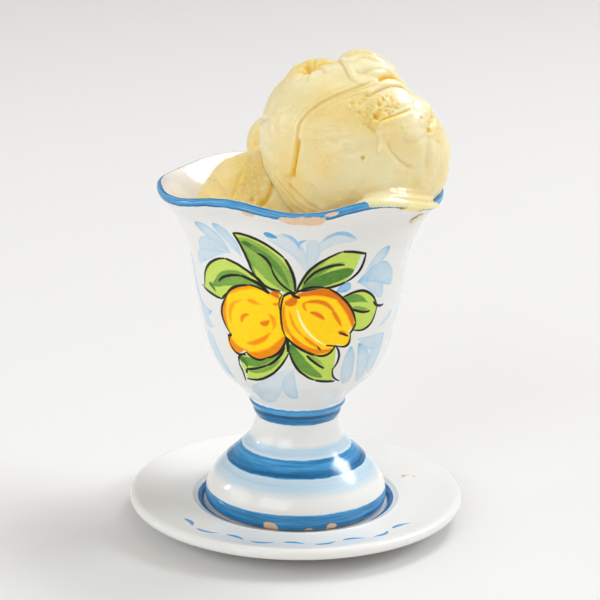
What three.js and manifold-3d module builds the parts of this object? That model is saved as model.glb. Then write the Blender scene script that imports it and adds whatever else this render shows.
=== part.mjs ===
// Three scoops of lemon ice cream in a footed, wavy-rimmed glazed cup on its saucer.
// Millimetres, +Z up. The origin is on the table, under the middle of the saucer.
// Angles round the cup are in degrees: 0 is the front (-Y) and +90 is the right (+X).
import * as THREE from 'three';
import { mergeVertices } from 'three/addons/utils/BufferGeometryUtils.js';
import Module from 'manifold-3d';

const wasm = await Module();
wasm.setup();

// Driving dimensions
const clearance = 0.3;          // between pieces that touch
const inputWeld = 1e-4;         // vertices closer than this are one, before the cuts
const outputWeld = 1e-3;        // and after them
const cupSides = 48;
const footSteps = { inside: 6, outside: 9 };
const bowlSteps = 10;           // along the bowl's wall, outside and inside
const lipArc = { from: -20, to: 110, steps: 3 };
const saucerSides = 44;
const saucerLipArc = { from: -66, to: 98, steps: 6 };
const cupBaseHeight = 6;
const lipRadius = 1.7;
const lipCentre = [49.5, 126.4];
const waveStart = 88;           // the rim's waves fade in from here
const rimHeight = 126.4;
const flarePerDrop = 0.37;      // how far a low lobe of the rim leans out
const rimShift = -0.2;          // the rim stands a little to the left of the foot
const saucerLipRadius = 2;
const saucerLipCentre = [59.8, 9];

// Each pair is a radius and a height.
const footInside = [[0, 30.6], [7, 29.8], [14, 26.6], [20.5, 21.4], [26, 14.5], [28.9, 8.6],
  [29.4, cupBaseHeight]];
const footOutside = [[32.6, cupBaseHeight], [33.6, 7.6], [33.7, 9.5], [33, 14], [30, 19], [25.3, 24],
  [21, 28], [17.7, 32], [15.9, 36], [15, 40.2]];
const collar = [[16, 41.4], [16.3, 42.8], [16.2, 43.7], [17.3, 44.8], [17.8, 46], [17.3, 46.9]];
const bowlOutside = [[17.7, 47.8], [22.5, 53], [27.9, 58], [31.7, 65], [34.5, 73], [36.3, 82], [38, 91],
  [39.2, 100], [40.6, 108], [43.1, 114], [45.8, 119.6], [50.7, 125.2]];
const bowlInside = [[48.3, 127.6], [43.9, 122.4], [40.2, 116], [37.4, 109], [35.4, 100.5], [34, 91],
  [32.4, 82], [30.4, 73.5], [27.6, 66.5], [23.6, 60.8], [18, 56.2], [10.5, 53.2], [0, 52.2]];
const saucerUnderside = [[0, 1.6], [23.2, 1.6], [24, 0], [28, 0], [29.2, 1.9], [44, 3.9], [56, 6.4]];
const saucerTop = [[57, 10.5], [50, 9], [44, 8.3], [40, 8.1], [38.6, 8.3], [37.6, 7.8], [36.2, 7.4],
  [34.8, 6.8], [34.4, 5.7], [0, 5.7]];

// The rim's waves, each as how often it rises round the cup and its cosine and sine heights: uneven, as
// pinched by hand
const rimWaves = [
  [1, 1.1, -0.2],
  [2, 1.2, 0.2],
  [3, -0.2, 0.2],
  [4, -0.5, -0.2],
  [5, -0.2, 0.35],
  [6, -1.15, -0.3],
];

// The scoops. A place on a ball is given as [angle round it, angle up], in degrees.
const front = {
  centre: [18, -6, 142],
  radii: [32.6, 32.4, 32.6],
  detail: 10,
  bumps: [
    { at: [75, 76], reach: 14, height: 2.4 },     // curled lobe on top
    { at: [34, 74], reach: 10, height: 2.2 },     // and its raised front edge
    { at: [108, 45], reach: 15, height: -4.6 },   // shoulder between it and the right-hand bulge
    { at: [44, 38], reach: 10, height: 1.2 },     // lobe under it
    { at: [84, 2], reach: 18, height: 1.2 },      // right-hand bulge
    { at: [84, -24], reach: 14, height: 3 },      // where it sags on the rim
    { at: [-112, 52], reach: 14, height: 1.6 },   // left shoulder
    { at: [-78, 62], reach: 7, height: -4.6 },    // torn hollow on the left shoulder
    { at: [26, 6], reach: 7, height: -1.3 },      // dents low on the front
    { at: [34, -4], reach: 6, height: -1.2 },
    { at: [-150, 15], reach: 18, height: -1.6 },
    { at: [150, 15], reach: 20, height: 1.2 },
  ],
  folds: [
    // the long fold, from low on the left over the shoulder
    { path: [[-40, -7], [-38, 6], [-39, 20], [-34, 30], [-17, 43], [8, 51], [40, 56], [62, 50]], width: 2,
      depth: 1.5, step: 0.9 },
    // the valley round the curled lobe
    { path: [[-146, 70], [-58, 79], [-23, 71], [-4, 60], [4, 52]], width: 2.4, depth: 2.4, step: -1.4 },
    // under the second lobe
    { path: [[9, 44], [25, 47], [42, 48], [60, 42]], width: 1.8, depth: 1, step: 0.7 },
    // the slit
    { path: [[12, 27], [25, 29], [35, 31], [48, 30]], width: 2, depth: 1.2, step: -1 },
    // between the face and the right-hand bulge
    { path: [[64, 23], [52, 18], [47, 10], [46, -2]], width: 2.2, depth: 1.1, step: 0.5 },
    // folds low on the left
    { path: [[-62, -14], [-52, -24], [-40, -33]], width: 2, depth: 1, step: 0.6 },
  ],
};
const left = {
  centre: [-14.5, -1, 111],
  radii: [26.6, 24, 27.6],
  detail: 6,
  bumps: [
    { at: [-86, 16], reach: 14, height: -0.9 },
    { at: [-88, 38], reach: 10, height: -1.2 },
    { at: [-60, 52], reach: 14, height: 0.7 },
    { at: [-10, 40], reach: 14, height: 0.8 },
    { at: [-150, 30], reach: 20, height: -1 },
  ],
  folds: [{ path: [[-70, 12], [-45, 24], [-25, 22], [-8, 12]], width: 2, depth: 0.8, step: 0.5 }],
};
const back = {
  centre: [6, 18, 128],
  radii: [24, 24, 24],
  detail: 5,
  bumps: [
    { at: [160, 10], reach: 20, height: 1.2 },
    { at: [-150, 25], reach: 16, height: -1.1 },
  ],
  folds: [{ path: [[120, 30], [150, 18], [-170, 24], [-140, 40]], width: 2.2, depth: 1.3, step: 0.7 }],
};
const backLobe = { centre: [-9.6, 18, 136], radii: [10.6, 9.6, 9.6], detail: 3, bumps: [], folds: [] };

// What the front ball stands on in the bowl
const frontFoot = { centre: [14, -8, 109], radii: [27, 24, 14], detail: 3, bumps: [], folds: [] };

// The skirt of the front scoop, melted over the rim: a long drop bent along the rim
const skirt = { middle: 49, halfSpan: 28, radius: 46.4, height: 127.4, halfWidth: 5.4, halfHeight: 4.6 };
const skirtSteps = { round: 26, up: 9 };
const ripple = { height: 0.8, often: 9 };

// Low waves all over a ball: how high they are, and how often they come along each axis
const unevenness = { height: 0.35, x: 9, y: 7, first: 5, second: 8 };

// A fold's step dies away over this many widths.
const stepReach = 4;

// The bowl's filling under the balls, split between the scoops by upright planes
const fillSplitX = -3;
const fillSplitY = 8;
const fillReach = 60;
const fillTop = { front: 110, left: 108, back: 111 };

// Height of the rim above its mean
function rimWave(angle) {
  return rimWaves.reduce((sum, [n, c, d]) => sum + c * Math.cos(n * angle) + d * Math.sin(n * angle), 0);
}

function radians(degrees) {
  return THREE.MathUtils.degToRad(degrees);
}

function curved(points, steps) {
  const curve = new THREE.SplineCurve(points.map(([r, z]) => new THREE.Vector2(r, z)));
  return curve.getPoints(steps);
}

function straight(points) {
  return points.map(([r, z]) => new THREE.Vector2(r, z));
}

function arc([r, z], radius, { from, to, steps }) {
  const curve = new THREE.EllipseCurve(r, z, radius, radius, radians(from), radians(to));
  return curve.getPoints(steps);
}

// An outline is moved outwards along its own normals, by the distance given.
function grown(outline, distance) {
  return outline.map((point, i) => {
    const before = outline[Math.max(i - 1, 0)];
    const after = outline[Math.min(i + 1, outline.length - 1)];
    const along = after.clone().sub(before).normalize();
    const moved = new THREE.Vector2(point.x + along.y * distance, point.y - along.x * distance);
    return point.x === 0 ? new THREE.Vector2(0, moved.y) : moved;
  });
}

function turned(outline, sides) {
  const geometry = new THREE.LatheGeometry(outline, sides);
  geometry.rotateX(Math.PI / 2);
  return geometry;
}

// Every vertex is moved by a function that gets it as a vector.
function shaped(geometry, move) {
  const position = geometry.attributes.position;
  const point = new THREE.Vector3();
  for (let i = 0; i < position.count; i += 1) {
    point.fromBufferAttribute(position, i);
    move(point);
    position.setXYZ(i, point.x, point.y, point.z);
  }
  return geometry;
}

// Shared vertices are merged, and the triangles that this closes up, as at a pole, are dropped.
function welded(geometry, distance) {
  const bare = geometry.index ? geometry.toNonIndexed() : geometry.clone();
  bare.deleteAttribute('normal');
  bare.deleteAttribute('uv');
  const merged = mergeVertices(bare, distance);
  const corners = merged.index.array;
  const kept = [];
  for (let i = 0; i < corners.length; i += 3) {
    const [a, b, c] = corners.slice(i, i + 3);
    if (a !== b && b !== c && c !== a) {
      kept.push(a, b, c);
    }
  }
  merged.setIndex(kept);
  return merged;
}

function toSolid(geometry) {
  const closed = welded(geometry, inputWeld);
  const mesh = new wasm.Mesh({
    numProp: 3,
    vertProperties: Float32Array.from(closed.attributes.position.array),
    triVerts: Uint32Array.from(closed.index.array),
  });
  return new wasm.Manifold(mesh);
}

// The largest connected piece of a solid, as a geometry: crumbs left by a cut are dropped.
function toGeometry(solid) {
  const { vertProperties, triVerts } = solid.getMesh();
  const owner = Array.from({ length: vertProperties.length / 3 }, (_, i) => i);
  const find = (i) => {
    let root = i;
    while (owner[root] !== root) {
      root = owner[root];
    }
    owner[i] = root;
    return root;
  };
  for (let i = 0; i < triVerts.length; i += 3) {
    owner[find(triVerts[i])] = find(triVerts[i + 1]);
    owner[find(triVerts[i + 1])] = find(triVerts[i + 2]);
  }
  const pieces = new Map();
  for (let i = 0; i < triVerts.length; i += 3) {
    const root = find(triVerts[i]);
    pieces.set(root, [...(pieces.get(root) ?? []), triVerts[i], triVerts[i + 1], triVerts[i + 2]]);
  }
  const largest = [...pieces.values()].sort((a, b) => b.length - a.length)[0];
  const geometry = new THREE.BufferGeometry();
  geometry.setAttribute('position', new THREE.BufferAttribute(vertProperties, 3));
  geometry.setIndex(largest);
  return welded(geometry, outputWeld);
}

// Cup: a solid collar between a hollow foot and the bowl
function cupOutline() {
  return [
    ...curved(footInside, footSteps.inside),
    ...curved(footOutside, footSteps.outside),
    ...straight(collar),
    ...curved(bowlOutside, bowlSteps),
    ...arc(lipCentre, lipRadius, lipArc),
    ...curved(bowlInside, bowlSteps),
  ];
}

function waved(geometry) {
  return shaped(geometry, (point) => {
    const blend = THREE.MathUtils.smoothstep(point.z, waveStart, rimHeight);
    const wave = rimWave(Math.atan2(point.x, -point.y)) * blend;
    const radius = Math.hypot(point.x, point.y);
    if (radius > 0) {
      const stretch = (radius - flarePerDrop * wave) / radius;
      point.x *= stretch;
      point.y *= stretch;
    }
    point.x += rimShift * blend;
    point.z += wave;
  });
}

function makeCup() {
  return waved(turned(cupOutline(), cupSides));
}

// The space that the scoops leave free: the cup, grown by the clearance
function makeCupKeepOut() {
  return toSolid(waved(turned(grown(cupOutline(), clearance), cupSides)));
}

function makeSaucer() {
  const outline = [
    ...straight(saucerUnderside),
    ...arc(saucerLipCentre, saucerLipRadius, saucerLipArc),
    ...straight(saucerTop),
  ];
  return turned(outline, saucerSides);
}

function direction([aroundDegrees, upDegrees]) {
  const around = radians(aroundDegrees);
  const up = radians(upDegrees);
  return new THREE.Vector3(Math.cos(up) * Math.sin(around), -Math.cos(up) * Math.cos(around), Math.sin(up));
}

// How far a ball's surface stands out at a direction: soft bumps and hollows, and folds, each a groove
// whose upper side stands a step above its lower side
function relief(scoop, towards) {
  const radius = scoop.radii[0];
  let height = 0;
  for (const bump of scoop.bumps) {
    const distance = radius * towards.distanceTo(direction(bump.at));
    height += bump.height * Math.exp(-((distance / bump.reach) ** 2));
  }
  for (const fold of scoop.folds) {
    let nearest = Infinity;
    let side = 1;
    for (let i = 1; i < fold.path.length; i += 1) {
      const from = direction(fold.path[i - 1]);
      const to = direction(fold.path[i]);
      const line = new THREE.Line3(from, to);
      const foot = line.closestPointToPoint(towards, true, new THREE.Vector3());
      const distance = radius * foot.distanceTo(towards);
      if (distance < nearest) {
        nearest = distance;
        side = Math.sign(to.clone().sub(from).cross(towards.clone().sub(from)).dot(towards));
      }
    }
    const groove = -fold.depth * Math.exp(-((nearest / fold.width) ** 2));
    const rise = 1 - Math.exp(-nearest / fold.width);
    const fade = Math.exp(-nearest / (stepReach * fold.width));
    height += groove + fold.step * side * rise * fade;
  }
  const { x, y, z } = towards;
  const firstWave = Math.sin(x * unevenness.x + z * unevenness.first);
  const secondWave = Math.sin(y * unevenness.y - z * unevenness.second);
  return height + unevenness.height * firstWave * secondWave;
}

function makeBall(scoop, extra) {
  const geometry = new THREE.IcosahedronGeometry(1, scoop.detail);
  const [x, y, z] = scoop.centre;
  return toSolid(shaped(geometry, (point) => {
    const towards = point.clone().normalize();
    const height = relief(scoop, towards) + extra;
    point.set(
      x + towards.x * (scoop.radii[0] + height),
      y + towards.y * (scoop.radii[1] + height),
      z + towards.z * (scoop.radii[2] + height),
    );
  }));
}

// Filling of one part of the bowl, between two corners seen from above and up to its own level
function makeFill(top, low, high, extra) {
  const wall = grown(curved(bowlInside, bowlSteps), clearance - extra).reverse();
  const whole = toSolid(waved(turned([...wall, new THREE.Vector2(0, rimHeight)], cupSides)));
  const [width, depth] = [0, 1].map((i) => high[i] - low[i] + 2 * extra);
  const block = new THREE.BoxGeometry(width, depth, 2 * (top + extra));
  block.translate((low[0] + high[0]) / 2, (low[1] + high[1]) / 2, 0);
  return whole.intersect(toSolid(block));
}

function makeSkirt() {
  const drop = new THREE.SphereGeometry(1, skirtSteps.round, skirtSteps.up);
  drop.rotateZ(Math.PI / 2);
  drop.rotateY(Math.PI / 2);
  return toSolid(shaped(drop, (point) => {
    const around = radians(skirt.middle + skirt.halfSpan * point.x);
    const wave = rimWave(around);
    const lift = ripple.height * Math.sin(ripple.often * around);
    const radius = skirt.radius - skirt.halfWidth * point.y - flarePerDrop * wave + lift;
    const height = skirt.height + skirt.halfHeight * point.z + wave - lift;
    point.set(radius * Math.sin(around), -radius * Math.cos(around), height);
  }));
}

// The front scoop is whole, and the others are cut back from it and from each other.
function makeScoops() {
  const keepOut = makeCupKeepOut();
  const makeFront = (extra) => makeBall(front, extra)
    .add(makeBall(frontFoot, extra))
    .add(makeFill(fillTop.front, [fillSplitX, -fillReach], [fillReach, fillSplitY], extra));
  const makeLeft = (extra) => makeBall(left, extra)
    .add(makeFill(fillTop.left, [-fillReach, -fillReach], [fillSplitX - clearance, fillReach], extra));
  const makeBack = () => makeBall(back, 0)
    .add(makeBall(backLobe, 0))
    .add(makeFill(fillTop.back, [fillSplitX, fillSplitY + clearance], [fillReach, fillReach], 0));
  const frontRoom = makeFront(clearance);
  const leftRoom = makeLeft(clearance);
  return {
    scoop_front: makeFront(0).add(makeSkirt()).subtract(keepOut),
    scoop_left: makeLeft(0).subtract(frontRoom).subtract(keepOut),
    scoop_back: makeBack().subtract(frontRoom).subtract(leftRoom).subtract(keepOut),
  };
}

function addMesh(group, name, geometry, material) {
  geometry.computeVertexNormals();
  const mesh = new THREE.Mesh(geometry, new THREE.MeshStandardMaterial(material));
  mesh.name = name;
  group.add(mesh);
}

const glaze = { color: 0xf1efeb, roughness: 0.18, metalness: 0 };
const iceCream = { color: 0xf3e3a4, roughness: 0.42, metalness: 0 };

const iceCreamCup = new THREE.Group();
addMesh(iceCreamCup, 'saucer', makeSaucer(), glaze);
addMesh(iceCreamCup, 'cup', makeCup(), glaze);
for (const [name, solid] of Object.entries(makeScoops())) {
  addMesh(iceCreamCup, name, toGeometry(solid), iceCream);
}

export default iceCreamCup;
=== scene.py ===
# Lemon ice cream in a footed, hand-painted cup on its saucer. Blender 4.5.
# Lengths in the dictionaries are millimetres and angles are degrees. Round the cup, 0 is the front (-Y)
# and +90 is the right (+X).
import math
import bpy
import numpy as np
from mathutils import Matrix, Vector


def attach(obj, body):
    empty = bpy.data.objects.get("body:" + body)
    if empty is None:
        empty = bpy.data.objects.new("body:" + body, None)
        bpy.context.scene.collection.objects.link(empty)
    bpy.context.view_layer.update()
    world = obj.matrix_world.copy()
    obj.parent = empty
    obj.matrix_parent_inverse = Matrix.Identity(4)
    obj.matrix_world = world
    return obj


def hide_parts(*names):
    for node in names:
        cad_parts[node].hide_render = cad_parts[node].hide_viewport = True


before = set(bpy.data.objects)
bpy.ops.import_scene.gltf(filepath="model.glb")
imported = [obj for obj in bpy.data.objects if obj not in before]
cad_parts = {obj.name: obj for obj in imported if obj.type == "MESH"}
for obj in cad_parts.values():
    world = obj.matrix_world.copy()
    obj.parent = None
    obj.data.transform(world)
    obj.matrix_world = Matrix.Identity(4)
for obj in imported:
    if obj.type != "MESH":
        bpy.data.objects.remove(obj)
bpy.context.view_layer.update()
mm = 0.001
print("frame loaded:", ", ".join(sorted(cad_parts)))


# camera, floor and lights

cameraSetup = {"place": (0, -750, 306), "aim": (0, 0, 83.4), "lens": 128.9, "roll": 1.0, "shift": 1 / 600}


def addCamera():
    data = bpy.data.cameras.new("camera")
    data.lens = cameraSetup["lens"]
    data.shift_x = cameraSetup["shift"]
    data.clip_start = 0.05
    camera = bpy.data.objects.new("camera", data)
    bpy.context.scene.collection.objects.link(camera)
    place = Vector(cameraSetup["place"]) * mm
    look = Vector(cameraSetup["aim"]) * mm - place
    camera.location = place
    camera.rotation_euler = look.to_track_quat("-Z", "Y").to_euler()
    camera.rotation_euler.rotate_axis("Z", math.radians(cameraSetup["roll"]))
    bpy.context.scene.camera = camera


# where each light stands as seen from the cup: angle round from +X towards the back, angle up and distance;
# then size (metres), power (watts) and colour. A light seen in the "shade" stays out of the gloss, and one
# seen in the "gloss" shows only there
lightSetup = {
    "key": {"around": 40, "up": 60, "distance": 2.6, "size": (0.9, 0.9), "power": 24.0,
            "colour": (0.95, 0.95, 1.0), "seen": "shade"},
    "side": {"around": 5, "up": 35, "distance": 3.2, "size": (1.1, 1.0), "power": 36.0,
             "colour": (0.88, 0.95, 1.0), "seen": "shade"},
    "shine": {"around": 25, "up": 45, "distance": 2.8, "size": (1.1, 1.0), "power": 66.0,
              "colour": (0.97, 0.98, 1.0), "seen": "gloss"},
    "top": {"around": 60, "up": 80, "distance": 1.5, "size": (0.9, 0.8), "power": 2.2,
            "colour": (1.0, 0.98, 0.96), "seen": "shade"},
    "front": {"around": 240, "up": 30, "distance": 2.0, "size": (1.3, 0.9), "power": 10.5,
              "colour": (0.9, 0.95, 1.0), "seen": "both"},
    "left": {"around": 190, "up": 22, "distance": 1.9, "size": (1.05, 0.75), "power": 5.2,
             "colour": (0.86, 0.93, 1.0), "seen": "both"},
    "spark": {"around": 164, "up": 17, "distance": 1.1, "size": (0.08, 0.08), "power": 0.5,
              "colour": (1.0, 1.0, 1.0), "seen": "both"},
}
lightAim = (0, 0, 90)
worldSetup = {"colour": (1.0, 0.95, 0.86), "strength": 0.445}


def addLights():
    for name, setup in lightSetup.items():
        around, up = math.radians(setup["around"]), math.radians(setup["up"])
        data = bpy.data.lights.new(name, "AREA")
        data.shape = "RECTANGLE"
        data.size, data.size_y = setup["size"]
        data.energy = setup["power"]
        data.color = setup["colour"]
        light = bpy.data.objects.new(name, data)
        light.visible_glossy = setup["seen"] != "shade"
        light.visible_diffuse = setup["seen"] != "gloss"
        bpy.context.scene.collection.objects.link(light)
        towards = Vector((math.cos(up) * math.cos(around), math.cos(up) * math.sin(around), math.sin(up)))
        light.location = Vector(lightAim) * mm + towards * setup["distance"]
        light.rotation_euler = towards.to_track_quat("Z", "Y").to_euler()
    world = bpy.data.worlds.new("studio")
    world.use_nodes = True
    background = world.node_tree.nodes["Background"]
    background.inputs["Color"].default_value = (*worldSetup["colour"], 1)
    background.inputs["Strength"].default_value = worldSetup["strength"]
    bpy.context.scene.world = world
    bpy.context.scene.view_settings.view_transform = "Standard"


# small helpers for objects

def deselectAll():
    if bpy.context.object and bpy.context.object.mode != "OBJECT":
        bpy.ops.object.mode_set(mode="OBJECT")
    bpy.ops.object.select_all(action="DESELECT")


def makeActive(piece):
    deselectAll()
    piece.select_set(True)
    bpy.context.view_layer.objects.active = piece


def settle(piece):
    # place, turn and scale go into the mesh
    makeActive(piece)
    bpy.ops.object.transform_apply(location=True, rotation=True, scale=True)


def joinPieces(first, others):
    makeActive(first)
    for other in others:
        other.select_set(True)
    bpy.ops.object.join()
    return first


def applyModifier(piece, kind, **settings):
    makeActive(piece)
    modifier = piece.modifiers.new(kind.lower(), kind)
    for name, value in settings.items():
        setattr(modifier, name, value)
    bpy.ops.object.modifier_apply(modifier=modifier.name)


def getPoints(piece):
    flat = np.zeros(len(piece.data.vertices) * 3)
    piece.data.vertices.foreach_get("co", flat)
    return flat.reshape(-1, 3) / mm


def setPoints(piece, points):
    piece.data.vertices.foreach_set("co", (points * mm).ravel())
    piece.data.update()


def setMask(piece, name, values):
    mask = piece.data.attributes.get(name) or piece.data.attributes.new(name, "FLOAT", "POINT")
    mask.data.foreach_set("value", np.asarray(values, np.float32))


def smoothLine(points, spacing):
    # a Catmull-Rom curve through the points
    points = [np.array(p, float) for p in points]
    last = len(points) - 1
    line = []
    for i in range(last):
        before, start = points[max(i - 1, 0)], points[i]
        end, after = points[i + 1], points[min(i + 2, last)]
        steps = max(1, round(np.linalg.norm(end - start) / spacing))
        for k in range(steps):
            t = k / steps
            bend = 2 * before - 5 * start + 4 * end - after
            twist = 3 * start - before - 3 * end + after
            line.append(0.5 * (2 * start + (end - before) * t + bend * t * t + twist * t ** 3))
    return line + [points[-1]]


def arcLine(centre, radius, fromDegrees, toDegrees, steps):
    angles = np.radians(np.linspace(fromDegrees, toDegrees, steps + 1))
    return [np.array([centre[0] + radius * math.cos(a), centre[1] + radius * math.sin(a)]) for a in angles]


def turnOutline(name, outline, steps):
    # the outline is drawn as a chain of points, and spun as on a potter's wheel
    deselectAll()
    bpy.ops.mesh.primitive_plane_add(size=mm, location=(0, 0, 0))
    piece = bpy.context.object
    piece.name = name
    bpy.ops.object.mode_set(mode="EDIT")
    bpy.ops.mesh.select_all(action="SELECT")
    bpy.ops.mesh.merge(type="CENTER")
    bpy.ops.transform.translate(value=(outline[0][0] * mm, 0, outline[0][1] * mm))
    for before, after in zip(outline, outline[1:]):
        step = ((after[0] - before[0]) * mm, 0, (after[1] - before[1]) * mm)
        bpy.ops.mesh.extrude_region_move(TRANSFORM_OT_translate={"value": step})
    bpy.ops.mesh.select_all(action="SELECT")
    bpy.ops.mesh.spin(steps=steps, angle=2 * math.pi, center=(0, 0, 0), axis=(0, 0, 1))
    bpy.ops.mesh.select_all(action="SELECT")
    bpy.ops.mesh.remove_doubles(threshold=0.01 * mm)
    bpy.ops.mesh.normals_make_consistent(inside=False)
    bpy.ops.object.mode_set(mode="OBJECT")
    return piece


def smoothstep(low, high, values):
    t = np.clip((values - low) / (high - low), 0, 1)
    return t * t * (3 - 2 * t)


def bell(values):
    return np.exp(-(values ** 2))


noiseSource = np.random.default_rng(7)
noiseSlopes = noiseSource.normal(size=(256, 3))
noiseSlopes /= np.linalg.norm(noiseSlopes, axis=1)[:, None]
noiseOrder = np.tile(noiseSource.permutation(256), 3)


def noiseAt(points, scale, seed=0.0, octaves=2):
    # smooth noise, about -1 to 1, at each point: random slopes at the corners of a grid, blended
    total, strength = np.zeros(len(points)), 1.0
    for octave in range(octaves):
        places = points * scale * 2 ** octave + (seed * 13.7 + octave * 5.1, seed * 7.3, seed * -11.9)
        corner = np.floor(places).astype(int)
        rest = places - corner
        blend = rest * rest * rest * (rest * (rest * 6 - 15) + 10)
        for step in np.ndindex(2, 2, 2):
            spot = (corner + step) & 255
            slope = noiseSlopes[noiseOrder[noiseOrder[noiseOrder[spot[:, 0]] + spot[:, 1]] + spot[:, 2]]]
            share = np.prod(np.where(step, blend, 1 - blend), axis=1)
            total += strength * 1.6 * share * (slope * (rest - step)).sum(1)
        strength *= 0.5
    return total


def finishPiece(piece, node):
    settle(piece)
    if node:
        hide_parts(node)
    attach(piece, "root")


# small helpers for shader nodes

def feed(tree, socket, value):
    if isinstance(value, bpy.types.NodeSocket):
        tree.links.new(value, socket)
    else:
        socket.default_value = value


def calc(tree, operation, *values, clamp=False):
    node = tree.nodes.new("ShaderNodeMath")
    node.operation = operation
    for socket, value in zip(node.inputs, values):
        feed(tree, socket, value)
    if clamp:
        # the node's own clamp would make a long painting overflow the shader's memory
        return calc(tree, "MINIMUM", calc(tree, "MAXIMUM", node.outputs[0], 0.0), 1.0)
    return node.outputs[0]


def moveVector(tree, operation, *values):
    node = tree.nodes.new("ShaderNodeVectorMath")
    node.operation = operation
    for socket, value in zip(node.inputs, values):
        feed(tree, socket, value)
    return node.outputs["Value" if operation == "DOT_PRODUCT" else "Vector"]


def scaleVector(tree, vector, factor):
    node = tree.nodes.new("ShaderNodeVectorMath")
    node.operation = "SCALE"
    feed(tree, node.inputs[0], vector)
    feed(tree, node.inputs["Scale"], factor)
    return node.outputs["Vector"]


def splitVector(tree, vector):
    node = tree.nodes.new("ShaderNodeSeparateXYZ")
    feed(tree, node.inputs[0], vector)
    return node.outputs[0], node.outputs[1], node.outputs[2]


def joinVector(tree, x, y, z=0.0):
    node = tree.nodes.new("ShaderNodeCombineXYZ")
    for socket, value in zip(node.inputs, (x, y, z)):
        feed(tree, socket, value)
    return node.outputs[0]


def mixColour(tree, factor, under, over, blend="MIX"):
    node = tree.nodes.new("ShaderNodeMix")
    node.data_type = "RGBA"
    node.blend_type = blend
    feed(tree, node.inputs[0], factor)
    feed(tree, node.inputs[6], (*under, 1) if isinstance(under, tuple) else under)
    feed(tree, node.inputs[7], (*over, 1) if isinstance(over, tuple) else over)
    return node.outputs[2]


def addNoise(tree, vector, scale, detail=2.0, rough=0.5, stretch=None):
    if stretch:
        mapping = tree.nodes.new("ShaderNodeMapping")
        feed(tree, mapping.inputs["Vector"], vector)
        mapping.inputs["Scale"].default_value = stretch
        vector = mapping.outputs[0]
    node = tree.nodes.new("ShaderNodeTexNoise")
    feed(tree, node.inputs["Vector"], vector)
    feed(tree, node.inputs["Scale"], scale)
    node.inputs["Detail"].default_value = detail
    node.inputs["Roughness"].default_value = rough
    return node


def addRamp(tree, value, stops):
    node = tree.nodes.new("ShaderNodeValToRGB")
    feed(tree, node.inputs[0], value)
    elements = node.color_ramp.elements
    while len(elements) < len(stops):
        elements.new(0.5)
    # all the places go in first, because the ramp sorts its stops by place
    for element, (place, colour) in zip(elements, stops):
        element.position = place
    for element, (place, colour) in zip(elements, stops):
        element.color = (*colour, 1) if isinstance(colour, tuple) else (colour, colour, colour, 1)
    return node.outputs[0]


def fromTo(tree, value, low, high):
    # 0 below low, 1 above high
    node = tree.nodes.new("ShaderNodeMapRange")
    node.interpolation_type = "SMOOTHSTEP"
    feed(tree, node.inputs["Value"], value)
    feed(tree, node.inputs["From Min"], low)
    feed(tree, node.inputs["From Max"], high)
    return node.outputs[0]


def objectPlace(tree):
    return tree.nodes.new("ShaderNodeTexCoord").outputs["Object"]


def readMask(tree, name):
    node = tree.nodes.new("ShaderNodeAttribute")
    node.attribute_name = name
    return node.outputs["Fac"]


def addBump(tree, height, strength, distance):
    node = tree.nodes.new("ShaderNodeBump")
    node.inputs["Strength"].default_value = strength
    node.inputs["Distance"].default_value = distance
    feed(tree, node.inputs["Height"], height)
    return node.outputs[0]


def newGroup(name, inputs, outputs):
    tree = bpy.data.node_groups.new(name, "ShaderNodeTree")
    for label, kind, value in inputs:
        socket = tree.interface.new_socket(label, in_out="INPUT", socket_type="NodeSocket" + kind)
        socket.default_value = value
    for label, kind in outputs:
        tree.interface.new_socket(label, in_out="OUTPUT", socket_type="NodeSocket" + kind)
    return tree, tree.nodes.new("NodeGroupInput").outputs, tree.nodes.new("NodeGroupOutput").inputs


def useGroup(tree, group, **values):
    # values are given by the sockets' names, written without spaces
    node = tree.nodes.new("ShaderNodeGroup")
    node.node_tree = group
    for socket in node.inputs:
        if socket.name.replace(" ", "") in values:
            feed(tree, socket, values[socket.name.replace(" ", "")])
    return node.outputs


def newMaterial(name):
    material = bpy.data.materials.new(name)
    material.use_nodes = True
    tree = material.node_tree
    return material, tree, tree.nodes["Principled BSDF"]


# node groups for the painting. Places on the wall are millimetres: across = angle round x wallRadius.

wallRadius = 38.0
# soft edges, how far the hand strays and how often, and how fast the extra paint at edges and ends falls off
brush = {"soft": 0.28, "wobble": 0.5, "inkWobble": 0.35, "bandWobble": 0.25, "shakes": 0.16, "edgeFall": 5.0,
         "headFall": 8.0, "tailFall": 5.0}
inkLook = {"colour": (0.02, 0.015, 0.012), "width": 0.66, "head": 0.12, "tail": 0.16, "soft": 0.22}


def makeWallPlace():
    # where on the turned wall a point is, as (across, up), shaken a little like a hand-held brush
    tree, inputs, outputs = newGroup("wallPlace", [("Wobble", "Float", 0.4)], [("Place", "Vector")])
    x, y, z = splitVector(tree, objectPlace(tree))
    around = calc(tree, "ARCTAN2", x, calc(tree, "MULTIPLY", y, -1.0))
    place = joinVector(tree, calc(tree, "MULTIPLY", around, wallRadius), calc(tree, "MULTIPLY", z, 1 / mm))
    shake = addNoise(tree, place, brush["shakes"]).outputs["Color"]
    shift = moveVector(tree, "SUBTRACT", shake, (0.5, 0.5, 0.5))
    shift = scaleVector(tree, shift, calc(tree, "MULTIPLY", inputs["Wobble"], 2.0))
    x, y, z = splitVector(tree, moveVector(tree, "ADD", place, shift))
    # the third number is always 1, so that one product with a row gives a place in a mark's own frame
    tree.links.new(joinVector(tree, x, y, 1.0), outputs["Place"])
    return tree


placeInputs = [("Place", "Vector", (0, 0, 1)), ("Along Row", "Vector", (1, 0, 0)),
               ("Beside Row", "Vector", (0, 1, 0))]
strokeInputs = {"Length": 10.0, "Bend": 0.0, "Width": 0.2, "Head": 0.5, "Tail": 1.0, "Soft": 0.3,
                "Paint": 0.3, "Edge Paint": 0.1, "Head Paint": 0.1, "Tail Paint": 0.1, "Under": 0.0}
farOutside = -9.0


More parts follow.
